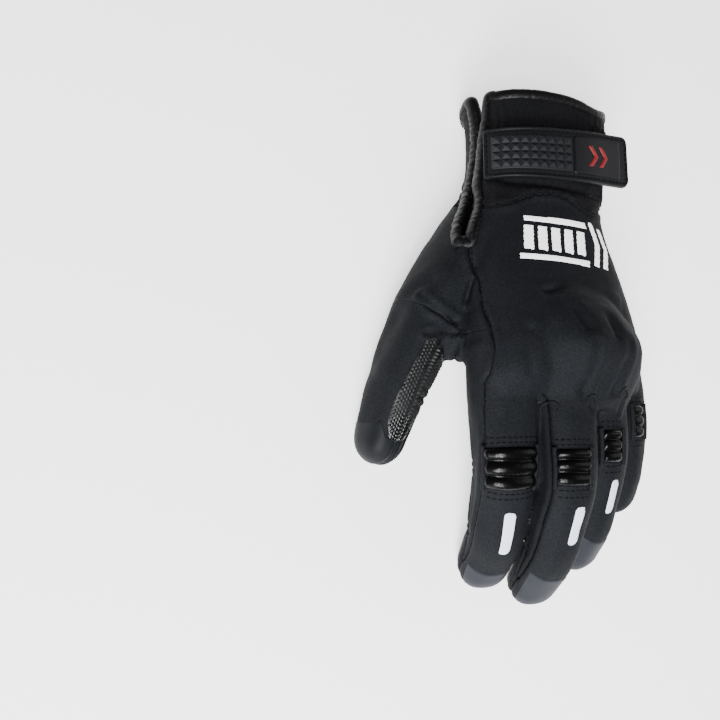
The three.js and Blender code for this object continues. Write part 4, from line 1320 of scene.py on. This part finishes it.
def side_label():
    """A woven label with plain blocks and a stitched rim."""
    label = SIDE_LABEL
    low, high = label["angle"]
    near, far = label["y"]
    base = on_wrist(wrist_box((near, far), (low, high), 0.5, 0.6), height=0.45, cell=0.5, round_edge=0.3)
    add("side_label_base", *base, BROWN, "woven", ["side_label"])
    parts = []
    for k in range(label["blocks"]):
        start = near + label["first"] + label["pitch"] * k
        block = wrist_box((start, start + label["block"]), (low + 4, high - 4), 0.5, 0.5)
        parts.append(on_wrist(block, height=0.62, cell=0.5, round_edge=0.2))
    rim = wrist_box((near + 0.8, far - 0.8), (low + 1.6, high - 1.6), 0.5)
    row = row_on(whole.wrist, looped(rim))
    parts.append(stitches([row], pitch=1.4, length=1.1, radius=0.2, sunk=2.2))
    add("side_label_blocks", *merged(parts), YELLOW, "woven", ["side_label"])


def loop_patch():
    edge = wrist_box(LOOP_PATCH["y"], LOOP_PATCH["angle"], 0.6, 1.2)
    tufts = pebbles(1.5, 0.3, WRIST_SCALE)
    pile = on_wrist(edge, height=0.9, cell=0.5, round_edge=0.4, relief=tufts)
    add("loop_patch_pile", *pile, LOOPS, "stretch", ["loop_patch"])


def back_print():
    """White bars, slanted blocks and arrows printed across the back of the hand."""
    shapes = list(PRINT_BARS)
    for k in range(PRINT_BLOCKS["count"]):
        left = PRINT_BLOCKS["start"] + PRINT_BLOCKS["pitch"] * k
        shapes.append([(left + u, v) for u, v in PRINT_BLOCKS["corners"]])
    for left, top, bottom in PRINT_ARROWS:
        middle = (top + bottom) / 2
        shapes.append([(left, top), (left + 3.4, top - 0.6), (left + 5.6, middle), (left + 2.6, bottom),
                       (left - 0.8, bottom + 0.2), (left + 2.2, middle)])
    parts = [laid(outline_of(shape, 0.5, 0.25), whole.top, height=0.1, cell=0.8, round_edge=0.15, sink=0.08)
             for shape in shapes]
    add("back_print", *merged(parts), PRINT, "reflective")


# The wrist strap
def strap_line():
    points, length, angle = [], 0.0, float(STRAP["start"])
    reach = STRAP["lift"] + STRAP["thickness"] / 2
    while length < STRAP["wrap"]:
        p = hand_points(PALM, WRIST_Y, [math.radians(angle)], reach)[0]
        if points:
            length += np.linalg.norm(p - points[-1])
        points.append(p)
        angle -= 2
    ahead = unit(points[-1] - points[-3])
    points += [points[-1] + ahead * reach for reach in np.linspace(0, STRAP["tab"], 18)[1:]]
    return relaxed(resampled(points, 0.5), 60)


STRAP_LINE = strap_line()
STRAP_RUN = running(STRAP_LINE)
STRAP_LENGTH = float(STRAP_RUN[-1])
STRAP_TOP = STRAP["thickness"] / 2


def strap_place(run, across):
    """A point of the strap's middle surface and the outward direction there."""
    at, ahead, behind = (at_run(run + step, STRAP_RUN, STRAP_LINE) for step in (0, 0.5, -0.5))
    way = ahead - behind
    out = np.array([-way[2], 0, way[0]])
    drop = (at[0] - PALM[2, 1]) * math.tan(math.radians(STRAP["tilt"]))
    narrow = 1 - STRAP["taper"] * max(1 - run / STRAP_LENGTH, 0)
    bow = STRAP["bow"] * math.sin(math.pi * min(max(run / STRAP_LENGTH, 0), 1))
    return at + np.array([0, across * narrow - drop - bow, 0]), unit(out)


def strap_outline(inset, cell):
    half, corner = STRAP["width"] / 2 - inset, max(STRAP["corner"] - inset, 0.5)
    end = STRAP_LENGTH - inset - corner
    points = [(inset, -half), (end, -half)]
    for t in np.linspace(0, np.pi / 2, 8)[1:]:
        points.append((end + corner * math.sin(t), -half + corner - corner * math.cos(t)))
    points += [(u, -v) for u, v in points[::-1]]
    return outline_of(points, cell)


def strap():
    """The strap's band. Returns the line of its stitches."""
    def relief(u, v, depth):
        return 0.28 * bell(depth - 0.75, 0.35) - 0.18 * bell(depth - 1.7, 0.4)
    edge = strap_outline(0, 0.5)
    band = slab(edge, strap_place, -STRAP_TOP, STRAP_TOP, cell=0.5, round_edge=0.7, relief=relief)
    add("wrist_strap_band", *band, RUBBER, "rubber", ["wrist_strap"])

    def on_top(u, v):
        at, out = strap_place(u, v)
        return at + out * (STRAP_TOP - 0.1), out
    return row_on(on_top, looped(strap_outline(1.75, 0.5)))


def stud(u, v, floor_height):
    """A pyramid with a blunt point on the strap."""
    rings = []
    for share, rise in STUD_SHAPE:
        ring = []
        for du, dv in ((-1, -1), (1, -1), (1, 1), (-1, 1)):
            at, out = strap_place(u + du * share * STUDS["base"] / 2, v + dv * share * STUDS["base"] / 2)
            ring.append(at + out * (floor_height + rise * STUDS["height"]))
        rings.append(np.array(ring))
    return loft(rings)


def strap_studs():
    pitch, start, top = STUDS["pitch"], STUDS["start"], STRAP_TOP + STUDS["plate"]
    length, width = STUDS["columns"] * pitch, STUDS["rows"] * pitch
    edge = box_outline((start - 0.5, start + length + 0.5), (-width / 2 - 0.5, width / 2 + 0.5), 0.8, 0.6)
    parts = [slab(edge, strap_place, STRAP_TOP - 0.2, top, cell=0.9, round_edge=0.3)]
    for i in range(STUDS["columns"]):
        for j in range(STUDS["rows"]):
            parts.append(stud(start + (i + 0.5) * pitch, (j + 0.5 - STUDS["rows"] / 2) * pitch, top - 0.1))
    add("strap_stud_panel", *merged(parts), STUD_RUBBER, "rubber", ["strap_studs"], smooth=False)


def strap_label():
    """A plain satin panel with two low chevrons on it."""
    start, length, width = STRAP_LABEL["start"], STRAP_LABEL["length"], STRAP_LABEL["width"]
    top = STRAP_TOP + STRAP_LABEL["height"]
    edge = box_outline((start, start + length), (-width / 2, width / 2), 0.5, 1.5)
    plate = slab(edge, strap_place, STRAP_TOP - 0.2, top, cell=0.6, round_edge=0.3)
    add("strap_label_plate", *plate, LABEL, "label", ["strap_label"])
    shapes = [[(start + left + u, v) for u, v in CHEVRON_CORNERS] for left in CHEVRON_STARTS]
    parts = [slab(outline_of(shape, 0.5, 0.3), strap_place, STRAP_TOP, top + 0.3, cell=0.6, round_edge=0.2)
             for shape in shapes]
    add("strap_label_chevrons", *merged(parts), CHEVRON, "rubber", ["strap_label"])


# The glossy folded binding round the cuff and the slit
def binding_path():
    points = []
    for angle in np.linspace(*BINDING_ARC, 31):
        p = hand_points(PALM, CUFF_Y, [math.radians(angle)], -WALL / 2)[0]
        out = float(edge_rise(angle))
        points.append((p[0] + flare(CUFF_Y + out, angle), CUFF_Y + BINDING_OUT + out, p[2]))

    def place(y, column):
        height = sample(PALM, min(y, CUFF_Y))[1] + sample(SLIT, y)[column]
        spot, _ = whole.hit((-120, min(y, CUFF_Y - 1), height), (1, 0, 0))
        inward = PALM_TAPE_IN["by"] * column * smoothstep((y - PALM_TAPE_IN["y"]) / PALM_TAPE_IN["blend"])
        return spot + (WALL / 2 + inward, 0, 0)
    rows = SLIT[2:, 0]
    points += [place(y, 1) for y in rows]
    points += [place(y, 0) for y in rows[::-1]]
    return curve_through(points, 0.45, True)


def binding():
    """The tape round the cuff and the slit. Returns the line of its stitches."""
    path = binding_path()
    outs = path - np.array([PALM[1, 1], 0, PALM[1, 2]])
    outs[:, 1] = 0
    in_slit = smoothstep((97 - path[:, 1]) / 6)
    palm_side = window(path[:, 1], 62, 108, 6) * (path[:, 0] < -18) * (path[:, 2] < 28.5)
    half = BINDING_HALF[0] * (1 - in_slit)[:, None] + BINDING_HALF[1] * in_slit[:, None]
    half = half * (1 - palm_side)[:, None] + BINDING_HALF[2] * palm_side[:, None]
    half = relaxed(half, 30)

    def ripple(i, turn):
        gather = noise.noise(Vector((i * 0.33, 1.7, 0)))
        fold = np.array([noise.noise(Vector((i * 0.42, math.cos(t) * 0.8, math.sin(t) * 0.8))) for t in turn])
        return 1 + (0.05 + 0.07 * in_slit[i]) * gather + (0.04 + 0.09 * in_slit[i]) * fold
    tape = tube(path, half[:, 1:], half[:, :1], outs, TAPE_SIDES, ripple)
    add("cuff_binding_tape", *tape, PIPING, "gloss", ["cuff_binding"])
    beside = unit_rows(np.cross(np.roll(path, -1, 0) - np.roll(path, 1, 0), outs))
    outs = unit_rows(outs)
    points, ways = [], []
    for p, side, out, (wide, thick) in zip(path, beside, outs, half):
        near = [kept.find_nearest(Vector(p + side * k * 4))[3] for k in (-1, 1)]
        cloth = side if near[1] < near[0] else -side
        points.append(p + cloth * wide * 0.6 + out * thick * 0.85)
        ways.append(out + cloth * 0.5)
    return looped(points), looped(ways)


def seam_line(a, b):
    """The longest seam between two panels, by their names."""
    pair = sorted((NUMBER[a], NUMBER[b]))
    mine = seams[(seams[:, 2] == pair[0]) & (seams[:, 3] == pair[1])]
    return chain(mine[:, :2], verts)[0]


def welt():
    """A thin raised cord in the seam between the cuff and the back."""
    line = relaxed(resampled(seam_line("back_panel", "cuff_back"), 0.6), 6)
    outs = np.array([whole.tree.find_nearest(Vector(p))[1] for p in line])
    shape = tube(line + outs * 0.15, WELT_RADIUS, WELT_RADIUS, outs, CORD_SIDES, closed=False)
    add("cuff_welt", *shape, CLOTH, "softshell")


def crotch_lips():
    """The rounded edge of the back where it folds in between two fingers."""
    parts = []
    for x, y, lowest in CROTCHES:
        turn = np.linspace(-0.2 * np.pi, 1.2 * np.pi, 40)
        arc = [whole.top(x + CROTCH_RADIUS * math.cos(a), y + CROTCH_RADIUS * math.sin(a)) for a in turn]
        arc = [spot for spot in arc if spot[0][2] > lowest]
        line = relaxed(np.array([s[0] for s in arc]), 3)
        parts.append(tube(line, 0.5, 0.6, np.array([s[1] for s in arc]), CORD_SIDES, closed=False))
    add("crotch_lips", *merged(parts), CLOTH, "softshell")


def sewn():
    """The pieces that are stitched down, and all stitches."""
    black = []
    for name in RIBS:
        black += rib_patch(name)
    for name in TOUCH_PADS:
        black.append(touch_pad(name))
    black += [palm_grip(), strap()]
    grey = [binding()]
    for a, b, offset, towards in SEAM_STITCHES:
        black.append(beside_seam(seam_line(a, b), whole.tree, offset, towards))
    black.append(row_on(whole.bottom, PALM_STITCHES))
    add("stitches_black", *stitches(black), THREAD, "gloss")
    add("stitches_grey", *stitches(grey, pitch=2.4, length=1.5, radius=0.2), LIGHT_THREAD, "gloss")


for name in REFLECTORS:
    reflector(name)
for name in TIP_CAPS:
    tip_cap(name)
thumb_grip()
heel_patch()
side_label()
loop_patch()
back_print()
strap_studs()
strap_label()
welt()
crotch_lips()
sewn()


# Camera, light and floor
def camera():
    data = bpy.data.cameras.new("camera")
    data.sensor_width = SENSOR_MM
    data.lens = FOCAL_SHARE * SENSOR_MM
    data.clip_start, data.clip_end = 0.01, 10
    a, b = (math.radians(v) for v in CAMERA_TURN)
    back = Vector((-math.sin(a) * math.cos(b), -math.sin(b), math.cos(a) * math.cos(b)))
    right = Vector((math.cos(a), 0, math.sin(a)))
    up = back.cross(right)
    turn = Matrix((right, up, back)).transposed().to_4x4()
    thing = placed("camera", data)
    thing.matrix_world = Matrix.Translation(CAMERA_AT) @ turn
    bpy.context.scene.camera = thing


def area_light(name, at, size, power):
    data = bpy.data.lights.new(name, "AREA")
    data.size, data.energy = size, power
    thing = placed(name, data)
    thing.location = at
    thing.rotation_euler = (Vector(LIGHTS_AIM) - Vector(at)).to_track_quat("-Z", "Y").to_euler()


def studio():
    world = bpy.data.worlds.new("studio")
    world.use_nodes = True
    background = world.node_tree.nodes["Background"]
    background.inputs["Color"].default_value = (1, 1, 1, 1)
    background.inputs["Strength"].default_value = WORLD_LIGHT
    bpy.context.scene.world = world
    for name, (at, size, power) in LIGHTS.items():
        area_light(name, at, size, power)
    half = FLOOR["half"]
    corners = [(-half, -half, 0), (half, -half, 0), (half, half, 0), (-half, half, 0)]
    mesh = mesh_of("floor", corners, [(0, 1, 2, 3)])
    paint, _, shader = shader_of("floor", FLOOR["color"], 0.8, 0.2)
    shader.inputs["Emission Color"].default_value = (1, 1, 1, 1)
    shader.inputs["Emission Strength"].default_value = FLOOR["glow"]
    mesh.materials.append(paint)
    floor = placed("floor", mesh)


camera()
studio()
